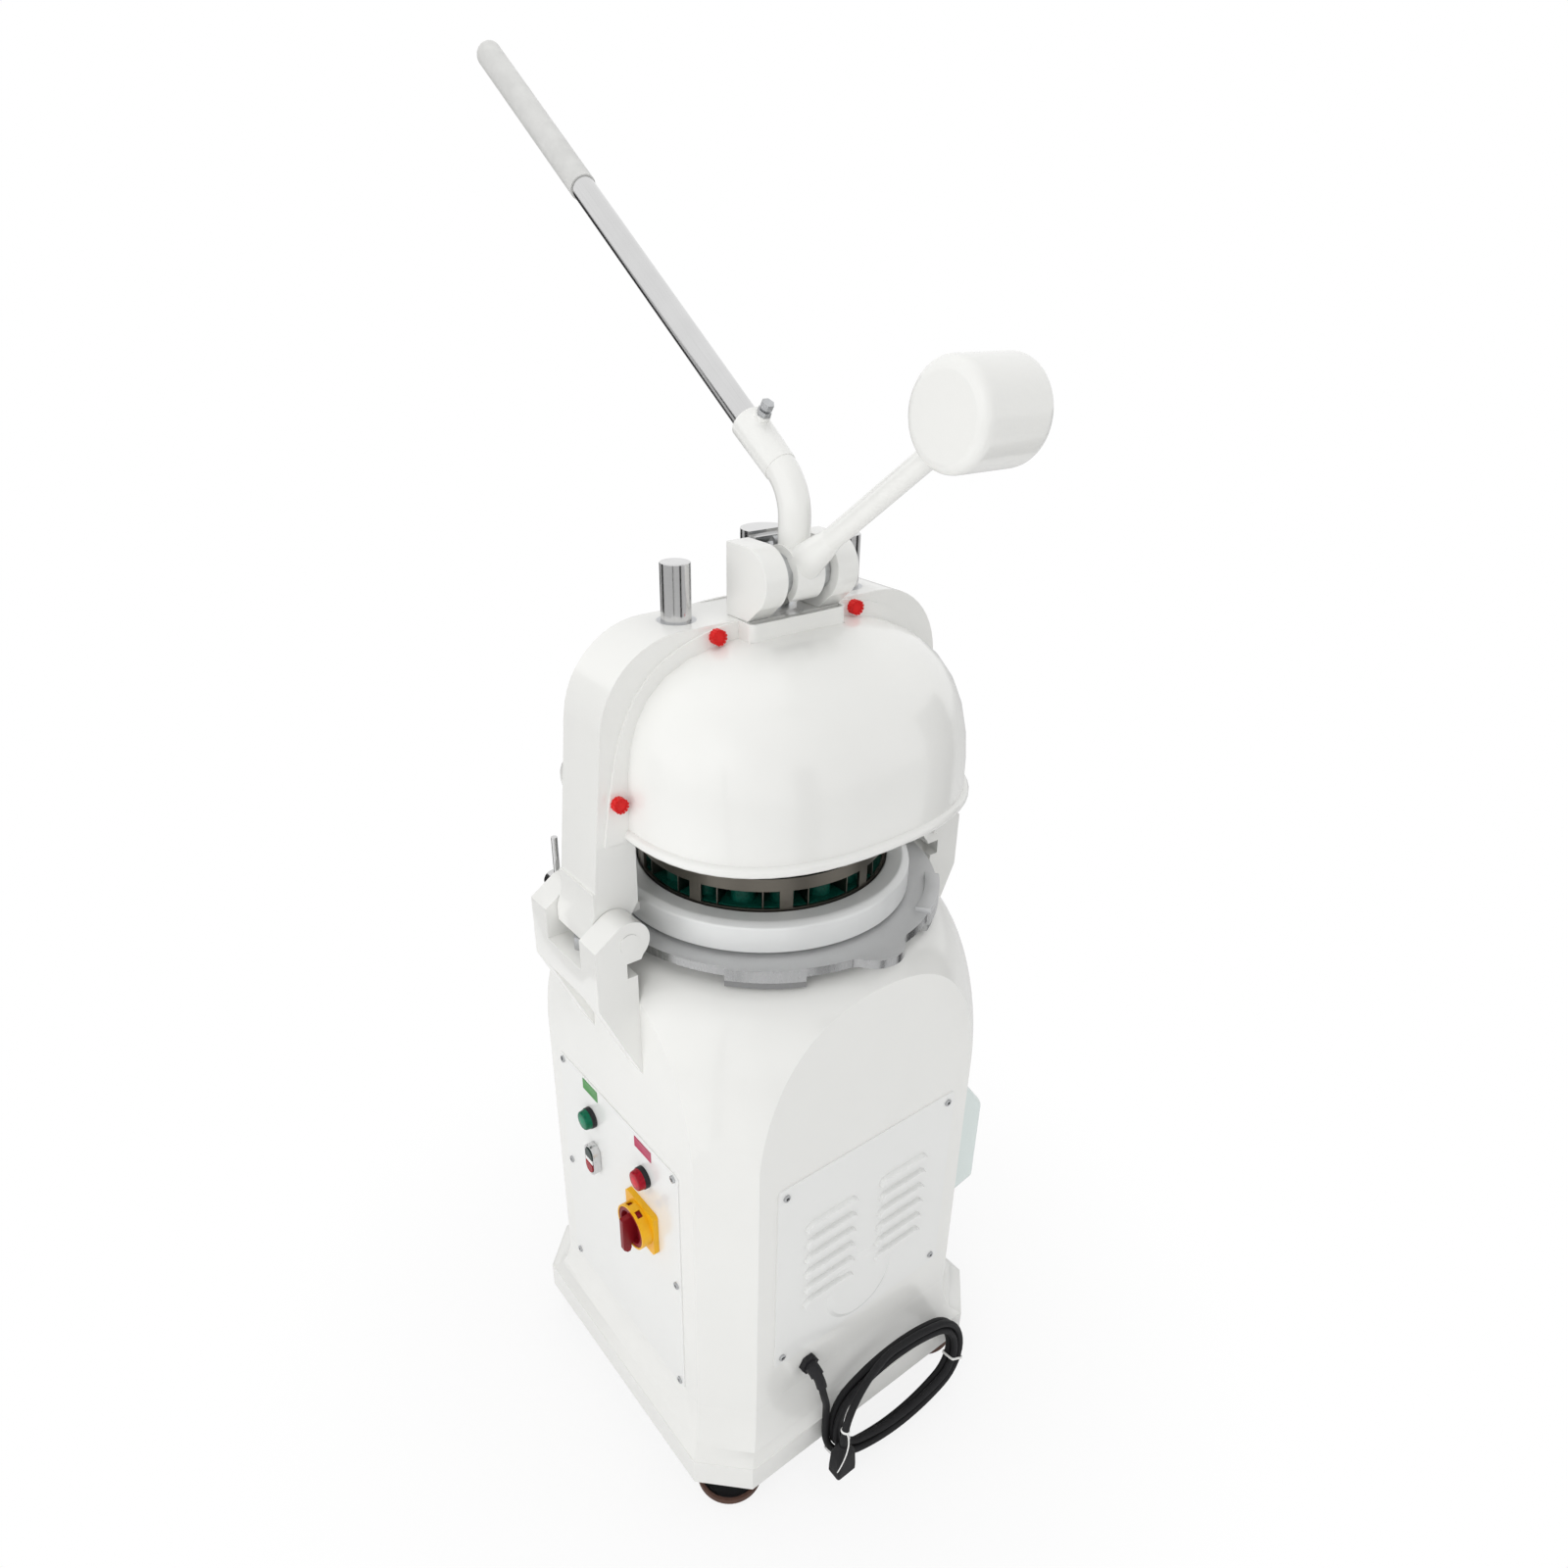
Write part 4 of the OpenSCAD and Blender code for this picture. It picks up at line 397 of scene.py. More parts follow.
# Sizes of tool marks along the three axes, in metres
TUBE_MARKS = (0.0009, 0.0009, 0.16)
TURNED_MARKS = (0.05, 0.05, 0.0011)
DRUM_MARKS = (0.06, 0.06, 0.0008)
MILLED_MARKS = (0.008, 0.008, 0.05)


def finishes(colours):
    """Every finish of the record's material slots, by slot."""
    return {
        "enamel": gloss_paint("white_enamel", colours.enamel),
        "panel_paint": gloss_paint("panel_enamel", colours.panel, 0.05, 4.0),
        "mint_cover": gloss_paint("mint_enamel", colours.mint, 0.05, 5.0),
        "black_rubber": soft_rubber("cord_rubber", colours.rubber),
        "foot_rubber": foot_rubber("foot_rubber", colours.rubber, colours.foot_rim),
        "bright_steel": brushed_metal("turned_steel", colours.bright, 0.15, UPRIGHT, TURNED_MARKS, 0.02),
        "plain_steel": zinc_plate("zinc_steel", colours.plain),
        "drum_steel": brushed_metal("drum_stainless", colours.drum, 0.36, UPRIGHT, DRUM_MARKS),
        "cast_grey": cast_metal("cast_aluminium", colours.cast, TABLE_STEP),
        "ring_satin": satin_metal("satin_ring", colours.ring),
        "green_hammer": hammer_paint("hammertone_green", colours.shaded_hammer),
        "knob_red": moulded("knob_red", colours.knob, 0.38),
        "black_plastic": moulded("black_moulding", colours.black, 0.42, shine=0.2),
        "lens_green": lamp_lens("lens_green", colours.green_lens, LAMP_GREEN),
        "lens_red": lamp_lens("lens_red", colours.red_lens, LAMP_RED),
        "yellow_plastic": moulded("yellow_moulding", colours.yellow, 0.3),
        "dark_red_plastic": moulded("dark_red_moulding", colours.dark_red, 0.3, shine=0.2),
        "button_green": moulded("start_cap", colours.start_cap, 0.28),
        "tie_nylon": moulded("tie_nylon", colours.nylon, 0.42),
        "motor_paint": gloss_paint("motor_paint", colours.motor, 0.12),
        "contactor_plastic": moulded("contactor_shell", scaled(colours.nylon, 0.9), 0.45),
        "grip_sleeve": moulded("grip_sleeve", colours.sleeve, 0.5, 60.0, 0.004),
    }


# Angle from which an edge is rolled over, and the limits of the mesh clean-up
SHARP = math.radians(32.0)
SAME_PLACE = 2e-6
SAME_PLANE = math.radians(0.4)


def wear(piece, material):
    """Gives a piece one finish in place of what it has."""
    piece.data.materials.clear()
    piece.data.materials.append(material)
    return piece


def alone(piece):
    """Selects one piece and nothing else."""
    bpy.ops.object.select_all(action="DESELECT")
    piece.select_set(True)
    bpy.context.view_layer.objects.active = piece
    return piece


def edit(piece):
    """Opens one piece for editing with all of it selected."""
    alone(piece)
    bpy.ops.object.mode_set(mode="EDIT")
    bpy.ops.mesh.select_all(action="SELECT")


def done():
    """Leaves edit mode."""
    bpy.ops.object.mode_set(mode="OBJECT")


def smooth(piece, degrees=34.0):
    """Smooth shading except across sharp edges."""
    alone(piece)
    bpy.ops.object.shade_smooth_by_angle(angle=math.radians(degrees))
    return piece


def rounded_edges(piece, width, segments=2, material=-1):
    """Rolls the sharp edges of a piece over; they take a material slot, or at -1 that of their faces."""
    alone(piece)
    roll = piece.modifiers.new("edge_roll", "BEVEL")
    roll.width = width
    roll.segments = segments
    roll.limit_method = "ANGLE"
    roll.angle_limit = SHARP
    roll.material = material
    bpy.ops.object.modifier_apply(modifier=roll.name)
    return piece


def level_shading(piece):
    """Lets the large faces rule the shading, so that flat faces look flat."""
    alone(piece)
    level = piece.modifiers.new("level", "WEIGHTED_NORMAL")
    level.keep_sharp = True
    bpy.ops.object.modifier_apply(modifier=level.name)
    return piece


def part_paint(piece, material, wanted):
    """Gives the faces whose centre and normal pass a test a further finish."""
    piece.data.materials.append(material)
    slot = len(piece.data.materials) - 1
    for face in piece.data.polygons:
        if wanted(face.center, face.normal):
            face.material_index = slot
    return piece


def softened(node, width, segments=2, degrees=34.0):
    """A copy of a CAD node with its sharp edges rolled over, which stands for that node."""
    source = FRAME["nodes"][node]
    piece = bpy.data.objects.new(node + "_cast", source.data.copy())
    bpy.context.scene.collection.objects.link(piece)
    alone(piece)
    bpy.ops.mesh.customdata_custom_splitnormals_clear()
    edit(piece)
    bpy.ops.mesh.remove_doubles(threshold=SAME_PLACE)
    bpy.ops.mesh.dissolve_limited(angle_limit=SAME_PLANE)
    done()
    if width:
        rounded_edges(piece, width, segments)
    smooth(piece, degrees)
    level_shading(piece)
    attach(piece, NODE_BODY[node])
    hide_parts(node)
    return piece


def grid_box(name, low, high):
    """A box between two corners, with its place in its mesh."""
    bpy.ops.object.select_all(action="DESELECT")
    middle = [(a + b) / 2 for a, b in zip(low, high)]
    bpy.ops.mesh.primitive_cube_add(size=1.0, location=middle, scale=[b - a for a, b in zip(low, high)])
    piece = bpy.context.active_object
    piece.name = name
    bpy.ops.object.transform_apply(location=True, rotation=True, scale=True)
    return piece


def pick_faces(piece, wanted):
    """Selects the faces whose centre and normal pass a test, in edit mode."""
    bpy.ops.mesh.select_all(action="DESELECT")
    done()
    for face in piece.data.polygons:
        face.select = wanted(face.center, face.normal)
    bpy.ops.object.mode_set(mode="EDIT")
    bpy.ops.mesh.select_mode(type="FACE")


def settle(piece, body):
    """Puts a finished piece on its body."""
    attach(piece, body)
    return piece


class ROUNDER_OT_stage(bpy.types.Operator):
    """Floor, even light, lamps and the camera at the photograph's viewing angle"""

    bl_idname = "rounder.stage"
    bl_label = "Stage and camera"

    WHITE = (1.0, 1.0, 1.0, 1.0)
    SENSOR = 36.0

    # Floor: size, colour, distances of its fade, and share of white that the camera sees at the machine
    FLOOR_SIZE = 60.0
    FLOOR_COLOUR = (0.93, 0.93, 0.93, 1.0)
    FLOOR_FADE = (0.32, 1.00)
    FLOOR_WHITE = 0.84

    # Flags: colour, rays that don't see them, and place and size of each
    FLAG_COLOUR = (0.012, 0.012, 0.013)
    HIDDEN_RAYS = ("camera", "diffuse", "shadow", "transmission", "volume_scatter")
    FLAGS = {
        "right_flag": ((1.12, -0.62, 0.80), (0.56, 1.70)),
        "left_flag": ((-0.90, 0.92, 0.80), (0.48, 1.70)),
        "back_flag": ((0.0, 2.0, 1.45), (1.00, 1.30)),
        "thin_flag": ((-0.89, -0.65, 0.95), (0.08, 1.20)),
        "front_flag": ((-0.06, -1.10, 0.95), (0.26, 1.20)),
    }

    # Place, height of the aim and size of each lamp
    LAMPS = {
        "key": ((-3.0, -1.7, 3.0), 0.9, 2.0),
        "fill": ((2.8, -2.2, 1.6), 0.8, 1.8),
        "top": ((0.3, 0.6, 4.2), 1.0, 2.4),
        "front": ((-0.9, -2.9, 1.6), 0.9, 1.4),
        "left": ((-3.0, 0.5, 1.4), 0.8, 1.6),
    }

    def execute(self, context):
        stage = context.scene.rounder_stage
        self.camera(context, stage)
        self.sky(context, stage)
        self.floor()
        for name, (place, aim, size) in self.LAMPS.items():
            self.lamp(name + "_lamp", place, (0.0, 0.0, aim), size, getattr(stage, name))
        self.flags()
        context.scene.view_settings.view_transform = "Standard"
        return {"FINISHED"}

    def camera(self, context, stage):
        """The camera at the place and turn that were solved from the photograph's edges."""
        look = Vector((-math.sin(stage.azimuth) * math.cos(stage.drop),
                       math.cos(stage.azimuth) * math.cos(stage.drop), -math.sin(stage.drop)))
        right = look.cross(Vector((0.0, 0.0, 1.0))).normalized()
        up = right.cross(look)
        cosine, sine = math.cos(stage.roll), math.sin(stage.roll)
        across = cosine * right + sine * up
        upright = cosine * up - sine * right
        eye = bpy.data.cameras.new("photo_camera")
        eye.lens = stage.lens
        eye.sensor_width = self.SENSOR
        eye.shift_x, eye.shift_y = stage.shift
        camera = bpy.data.objects.new("photo_camera", eye)
        camera.matrix_world = Matrix.Translation(stage.eye) @ Matrix(
            (across, upright, -look)).transposed().to_4x4()
        context.scene.collection.objects.link(camera)
        context.scene.camera = camera

    def sky(self, context, stage):
        """Even light all round, which the camera and reflections see as white."""
        world = bpy.data.worlds.new("studio")
        world.use_nodes = True
        context.scene.world = world
        tree = world.node_tree
        tree.nodes.clear()
        even = tree.nodes.new("ShaderNodeBackground")
        even.inputs["Strength"].default_value = stage.sky
        seen = tree.nodes.new("ShaderNodeBackground")
        seen.inputs["Color"].default_value = self.WHITE
        even.inputs["Color"].default_value = self.WHITE
        path = tree.nodes.new("ShaderNodeLightPath")
        share = path.outputs["Is Camera Ray"]
        for ray in ("Is Glossy Ray", "Is Transmission Ray"):
            either = tree.nodes.new("ShaderNodeMath")
            either.operation = "MAXIMUM"
            tree.links.new(share, either.inputs[0])
            tree.links.new(path.outputs[ray], either.inputs[1])
            share = either.outputs[0]
        pick = tree.nodes.new("ShaderNodeMixShader")
        out = tree.nodes.new("ShaderNodeOutputWorld")
        tree.links.new(share, pick.inputs[0])
        tree.links.new(even.outputs[0], pick.inputs[1])
        tree.links.new(seen.outputs[0], pick.inputs[2])
        tree.links.new(pick.outputs[0], out.inputs["Surface"])

    def floor(self):
        """A pale floor that the camera sees fade to white away from the machine."""
        bpy.ops.object.select_all(action="DESELECT")
        bpy.ops.mesh.primitive_plane_add(size=self.FLOOR_SIZE)
        floor = bpy.context.active_object
        floor.name = "floor"
        finish = Finish("pale_floor", 0.75)
        along, across, _ = finish.axes()
        reach = (along ** 2.0 + across ** 2.0) ** 0.5
        far = reach.step(*self.FLOOR_FADE)
        path = finish.node("ShaderNodeLightPath", output="Is Camera Ray")
        finish.feed("Base Color", self.FLOOR_COLOUR)
        white = finish.node("ShaderNodeEmission", None, {"Color": self.WHITE})
        share = (self.FLOOR_WHITE + far * (1.0 - self.FLOOR_WHITE)) * path
        lit = Wire(finish, finish.shader.outputs[0])
        pick = finish.node("ShaderNodeMixShader", None, {0: share, 1: lit, 2: white})
        finish.tree.links.new(pick.socket, finish.tree.nodes["Material Output"].inputs["Surface"])
        wear(floor, finish.material)

    def flags(self):
        """Dark boards that only reflections show, which give the bright metal its streaks."""
        dark = moulded("flag_cloth", self.FLAG_COLOUR, 0.9)
        for name, (place, size) in self.FLAGS.items():
            bpy.ops.object.select_all(action="DESELECT")
            bpy.ops.mesh.primitive_plane_add(size=1.0)
            flag = bpy.context.active_object
            flag.name = name
            flag.scale = (*size, 1.0)
            flag.location = place
            inwards = Vector((0.0, 0.0, place[2])) - Vector(place)
            flag.rotation_euler = inwards.to_track_quat("-Z", "Y").to_euler()
            for ray in self.HIDDEN_RAYS:
                setattr(flag, "visible_" + ray, False)
            wear(flag, dark)

    def lamp(self, name, place, aim, size, power):
        """A square lamp at a place, turned to its aim, that reflections don't show."""
        light = bpy.data.lights.new(name, "AREA")
        light.shape = "SQUARE"
        light.size = size
        light.energy = power
        lamp = bpy.data.objects.new(name, light)
        lamp.location = place
        lamp.rotation_euler = (Vector(aim) - Vector(place)).to_track_quat("-Z", "Y").to_euler()
        lamp.visible_glossy = False
        bpy.context.scene.collection.objects.link(lamp)


def along_run(start, leave, arrive, end, count):
    """Points of a smooth run between two places with its two handles."""
    points = []
    for index in range(count + 1):
        t = index / count
        points.append(start * (1 - t) ** 3 + leave * (3 * t * (1 - t) ** 2)
                      + arrive * (3 * t * t * (1 - t)) + end * t ** 3)
    return points


class ROUNDER_OT_cord(bpy.types.Operator):
    """Mains cord from its gland through the coil to the plug"""

    bl_idname = "rounder.cord"
    bl_label = "Mains cord"

    # Coil: share of a turn at which it starts, turns in a layer, its middle and the spare height under it
    START = 0.595
    LAYER_TURNS = 2
    COIL_X = 0.057
    COIL_Y = -0.320
    COIL_SPARE = 0.0008

    # Gland with its bent spout, and the plug
    GLAND = Vector((-0.106, -0.2805, 0.240))
    SPOUT_R = 0.030
    SPOUT_BEND = math.radians(70.0)
    PLUG_TOP = Vector((-0.094, -0.354, 0.120))
    PLUG_LONG = 0.0621
    PLUG_EDGE = 0.0016

    # Runs before and after the coil: gap at their ends, lengths of their handles and number of points
    RUN_GAP = 0.008
    MOUTH_PULL = 0.035
    ENTER_PULL = 0.040
    LEAVE_PULL = 0.052
    PLUG_PULL = 0.090
    LEAD_POINTS = 16
    TAIL_POINTS = 20

    # Tie above the plug: band, and strap with its four run points from the band's front
    TIE_UP = 0.026
    BAND_R = 0.0010
    BAND_GAP = 0.0006
    BAND_TALL = 1.9
    STRAP_WIDE = 0.0022
    STRAP_FLAT = 0.45
    STRAP_POINTS = 20
    STRAP_AT = Vector((-0.002, -0.0072, 0.0))
    STRAP_RUN = (Vector((0.0, 0.0, 0.0)), Vector((0.004, -0.006, -0.016)),
                 Vector((-0.010, -0.012, -0.034)), Vector((-0.026, -0.010, -0.058)))

    def execute(self, context):
        cord = context.scene.rounder_cord
        points = self.route(cord)
        line = bpy.data.curves.new("mains_cord", "CURVE")
        line.dimensions = "3D"
        line.bevel_depth = cord.diameter / 2
        line.bevel_resolution = 5
        line.use_fill_caps = True
        spline = line.splines.new("POLY")
        spline.points.add(len(points) - 1)
        for place, point in zip(spline.points, points):
            place.co = (*point, 1.0)
        spline.use_smooth = True
        piece = bpy.data.objects.new("mains_cord", line)
        context.scene.collection.objects.link(piece)
        wear(piece, bpy.data.materials["cord_rubber"])
        settle(piece, "frame")
        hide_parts("cord_lead", "cord_coil", "cord_tail")
        run = sum((b - a).length for a, b in zip(points, points[1:]))
        self.plug()
        softened("cord_ties", 0.0004, 1)
        self.plug_tie(cord, points)
        return {"FINISHED"}

    def plug_tie(self, cord, points):
        """A tie round the cord above the plug, whose long end hangs past the plug."""
        height = self.PLUG_TOP.z + self.TIE_UP
        place = min(points[-self.TAIL_POINTS - 1:], key=lambda point: abs(point.z - height))
        spot = points.index(place)
        lie = (points[spot + 1] - points[spot - 1]).to_track_quat("Z", "Y").to_matrix().to_4x4()
        bpy.ops.object.select_all(action="DESELECT")
        bpy.ops.mesh.primitive_torus_add(major_segments=40, minor_segments=10,
                                         major_radius=cord.diameter / 2 + self.BAND_GAP,
                                         minor_radius=self.BAND_R)
        band = bpy.context.active_object
        band.name = "plug_tie"
        edit(band)
        bpy.ops.transform.resize(value=(1.0, 1.0, self.BAND_TALL))
        done()
        band.data.transform(Matrix.Translation(place) @ lie)
        front = place + self.STRAP_AT
        run = along_run(*(front + step for step in self.STRAP_RUN), self.STRAP_POINTS)
        bpy.ops.mesh.primitive_plane_add(size=self.STRAP_WIDE)
        strap = bpy.context.active_object
        edit(strap)
        bpy.ops.transform.resize(value=(1.0, self.STRAP_FLAT, 1.0))
        bpy.ops.transform.translate(value=run[0])
        for start, end in zip(run, run[1:]):
            bpy.ops.mesh.extrude_region_move(TRANSFORM_OT_translate={"value": end - start})
        bpy.ops.mesh.select_all(action="SELECT")
        bpy.ops.mesh.normals_make_consistent(inside=False)
        done()
        bpy.ops.object.select_all(action="DESELECT")
        strap.select_set(True)
        band.select_set(True)
        bpy.context.view_layer.objects.active = band
        bpy.ops.object.join()
        bpy.ops.object.transform_apply(location=True, rotation=True, scale=True)
        wear(band, bpy.data.materials["tie_nylon"])
        smooth(band, 40.0)
        return settle(band, "frame")

    def plug(self):
        """The moulded plug, with metal blades."""
        plug = softened("mains_plug", self.PLUG_EDGE, 3)
        blade_top = self.PLUG_TOP.z - self.PLUG_LONG
        return part_paint(plug, bpy.data.materials["zinc_steel"], lambda centre, normal: centre.z < blade_top)

    def coil_place(self, cord, along, up, out):
        """Place of a point of the coil's leaning plane."""
        rise = cord.half_high * math.cos(cord.lean) + cord.diameter + self.COIL_SPARE
        return Vector((self.COIL_X + along,
                       self.COIL_Y + up * math.sin(cord.lean) - out * math.cos(cord.lean),
                       rise + up * math.cos(cord.lean) + out * math.sin(cord.lean)))

    def oval(self, cord, share, inner):
        """Point of an oval of four arcs at a share of its length, drawn in by a distance."""
        end_r = cord.half_high - cord.diameter
        end_x = cord.half_long - end_r
        side_up = (end_x ** 2 - cord.diameter ** 2) / (2 * cord.diameter)
        side_r = cord.half_high + side_up
        flat = math.atan2(end_x, side_up)
        end_run = end_r * (math.pi - 2 * flat)
        end_share = end_run / (2 * (end_run + side_r * 2 * flat))
        half = math.floor(2 * (share % 1.0))
        way = 1 - 2 * half
        part = share % 1.0 - half / 2
        if part < end_share:
            turn = math.pi * half - math.pi / 2 + flat + part / end_share * (math.pi - 2 * flat)
            middle, radius = (way * end_x, 0.0), end_r - inner
        else:
            turn = math.pi * half + math.pi / 2 - flat + (part - end_share) / (0.5 - end_share) * 2 * flat
            middle, radius = (0.0, -way * side_up), side_r - inner
        return middle[0] + radius * math.cos(turn), middle[1] + radius * math.sin(turn)

    def coil_point(self, cord, turn):
        """Point of the coil after so many turns: inwards in the back layer, outwards in the front one."""
        layer = self.LAYER_TURNS
        inner = cord.pitch * (turn if turn < layer else 2 * layer - turn)
        climb = min(1.0, max(0.0, turn - layer + 0.5))
        out = cord.pitch * (3 * climb ** 2 - 2 * climb ** 3 - 0.5)
        return self.coil_place(cord, *self.oval(cord, self.START + turn, inner), out)

    def route(self, cord):
        """Points of the whole cord."""
        count = round(cord.turns * cord.rings)
        coil = [self.coil_point(cord, index / cord.rings) for index in range(count + 1)]
        first = (coil[1] - coil[0]).normalized()
        last = (coil[-1] - coil[-2]).normalized()
        enter = coil[0] - cord.diameter * first
        leave = coil[-1] + cord.diameter * last
        bend = self.SPOUT_BEND
        mouth = self.GLAND + self.SPOUT_R * Vector((0.0, -math.sin(bend), math.cos(bend) - 1.0))
        out = Vector((0.0, -math.cos(bend), -math.sin(bend)))
        lead = along_run(mouth, mouth + self.MOUTH_PULL * out, enter - self.ENTER_PULL * first,
                         enter - self.RUN_GAP * first, self.LEAD_POINTS)
        upwards = Vector((0.0, 0.0, 1.0))
        tail = along_run(leave + self.RUN_GAP * last, leave + self.LEAVE_PULL * last,
                         self.PLUG_TOP + self.PLUG_PULL * upwards, self.PLUG_TOP + self.RUN_GAP * upwards,
                         self.TAIL_POINTS)
        return lead + [enter] + coil + [leave] + tail + [self.PLUG_TOP]


class ROUNDER_OT_finishes(bpy.types.Operator):
    """Paints, metals and plastics of every CAD node"""

    bl_idname = "rounder.finishes"
    bl_label = "Finishes"

    # Brightness of the table's machined edges, partly bright metal and partly painted highlight, and of its
    # milled sides, darkened as painted shade, against its cast grey
    EDGE_HIGHLIGHT = 1.45
    SIDE_PAINTED_SHADE = 0.72

    def execute(self, context):
        colours = context.scene.rounder_colours
        kinds = finishes(colours)
        for node, piece in FRAME["nodes"].items():
            wear(piece, kinds[NODE_SLOT[node]])
        drawn = polished_tube("drawn_tube", colours.bright, LEVER_TURN)
        wear(FRAME["nodes"]["lever_tube"], drawn)
        # Machined edges: the cast grey lightened, partly as a painted highlight along the rims
        zinc_plate("machined_edge", scaled(colours.cast, self.EDGE_HIGHLIGHT))
        # Milled sides: tool marks on a grey darkened as painted shade
        brushed_metal("milled_side", scaled(colours.cast, self.SIDE_PAINTED_SHADE), 0.26, UPRIGHT, MILLED_MARKS, 0.02)
        return {"FINISHED"}


class ROUNDER_OT_castings(bpy.types.Operator):
    """Castings and sheet pieces with rolled edges"""

    bl_idname = "rounder.castings"
    bl_label = "Castings"

    # Width of the rolled edges of each node, in metres
    EDGES = {
        "base_plinth": 0.004, "left_bracket": 0.0025, "right_bracket": 0.0025, "yoke": 0.004,
        "bearing_blocks": 0.003, "ring_hangers": 0.0015, "press_ring": 0.0025,
        "isolator_plate": 0.0012, "isolator_knob": 0.0014, "hinge_pin": 0.0015, "guide_rods": 0.0012,
        "press_ram": 0.0012, "lamp_bezels": 0.0008, "button_bezel": 0.0012, "start_button": 0.0008,
        "stop_button": 0.0008, "side_cover": 0.004, "counterweight": 0.004, "foot_pads": 0.0012,
        "clamp_bolt": 0.0006, "stop_bolt": 0.0008,
    }

    # Angle in degrees from which an edge of a shell stays sharp
    SHELLS = {"pedestal_shell": 24.0, "front_cover": 40.0, "rear_cover": 40.0}

    # Knobs: set-back of the face, width and rise of each step of its dome, and the band that counts as face
    KNOB_BACK = 0.006
    KNOB_STEPS = ((0.0012, 0.0014), (0.0020, 0.0012), (0.0024, 0.0006))
    FACE_BAND = 0.001

    # Lock pin: its end in front of this place is painted
    PIN_EDGE = 0.0008
    PIN_END_Y = -0.05

    # Table and the block on its right front lug
    TABLE_EDGE = 0.0022
    TABLE_MID = Vector((0.010, 0.0, 0.0))
    BLOCK_TURN = math.radians(-52.0)
    BLOCK_INNER = 0.2365
    BLOCK_OUTER = 0.2588
    BLOCK_WIDE = 0.104
    BLOCK_HIGH = 0.008
    BLOCK_SUNK = 0.001
    BLOCK_SPARE = (0.02, 0.01)
    CUTTER_HIGH = 0.2
    BLOCK_EDGE = 0.0016

    def execute(self, context):
        for node, width in self.EDGES.items():
            softened(node, width)
        for node, degrees in self.SHELLS.items():
            softened(node, 0.0, degrees=degrees)
        self.knobs()
        pin = softened("lock_pin", self.PIN_EDGE)
        part_paint(pin, bpy.data.materials["white_enamel"], lambda centre, normal: centre.y < self.PIN_END_Y)
        self.table()
        return {"FINISHED"}

    def knobs(self):
        """The fluted cover knobs, a little shorter than their solids, whose faces rise to a dome."""
        piece = softened("cover_knobs", 0.0)
        near = max(abs(face.center.y) for face in piece.data.polygons) - self.FACE_BAND
        for side in (-1.0, 1.0):
            edit(piece)
            pick_faces(piece, lambda centre, normal: normal.y * side > 0.9 and centre.y * side > near)
            bpy.ops.transform.translate(value=(0.0, -side * self.KNOB_BACK, 0.0))
            for width, rise in self.KNOB_STEPS:
                bpy.ops.mesh.inset(thickness=width, depth=rise, use_even_offset=False)
            done()
        smooth(piece, 50.0)

    def table(self):
        """The cast table with its machined edges painted bright, partly as highlight, and the sides above its
        step milled and painted darker as shade.
        """
        table = softened("rounding_table", 0.0)
        table.data.materials.append(bpy.data.materials["machined_edge"])
        # Painted shade: the upright sides above the step take the darker milled grey
        part_paint(table, bpy.data.materials["milled_side"],
                   lambda centre, normal: abs(normal.z) < 0.5 and centre.z > TABLE_STEP)
        # The rolled edges take slot 1, the machined grey lightened as a painted highlight
        rounded_edges(table, self.TABLE_EDGE, material=1)
        smooth(table)
        self.block(table)

    def block(self, table):
        """The block that stands for the raised top of the table's right front lug."""
        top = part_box("rounding_table")[1][2]
        half = self.BLOCK_WIDE / 2
        block = grid_box("table_stop", (self.BLOCK_INNER - self.BLOCK_SPARE[0], -half, top - self.BLOCK_SUNK),
                         (self.BLOCK_OUTER + self.BLOCK_SPARE[1], half, top + self.BLOCK_HIGH))
        for radius, operation in ((self.BLOCK_OUTER, "INTERSECT"), (self.BLOCK_INNER, "DIFFERENCE")):
            bpy.ops.object.select_all(action="DESELECT")
            bpy.ops.mesh.primitive_cylinder_add(vertices=180, radius=radius, depth=self.CUTTER_HIGH,
                                                location=(0.0, 0.0, top))
            cutter = bpy.context.active_object
            alone(block)
            cut = block.modifiers.new("cut", "BOOLEAN")
            cut.operation = operation
            cut.solver = "EXACT"
            cut.object = cutter
            bpy.ops.object.modifier_apply(modifier=cut.name)
            bpy.data.objects.remove(cutter)
        block.data.transform(Matrix.Translation(self.TABLE_MID) @ Matrix.Rotation(self.BLOCK_TURN, 4, "Z"))
        wear(block, table.data.materials[0])
        rounded_edges(block, self.BLOCK_EDGE)
        smooth(block)
        settle(block, "table")


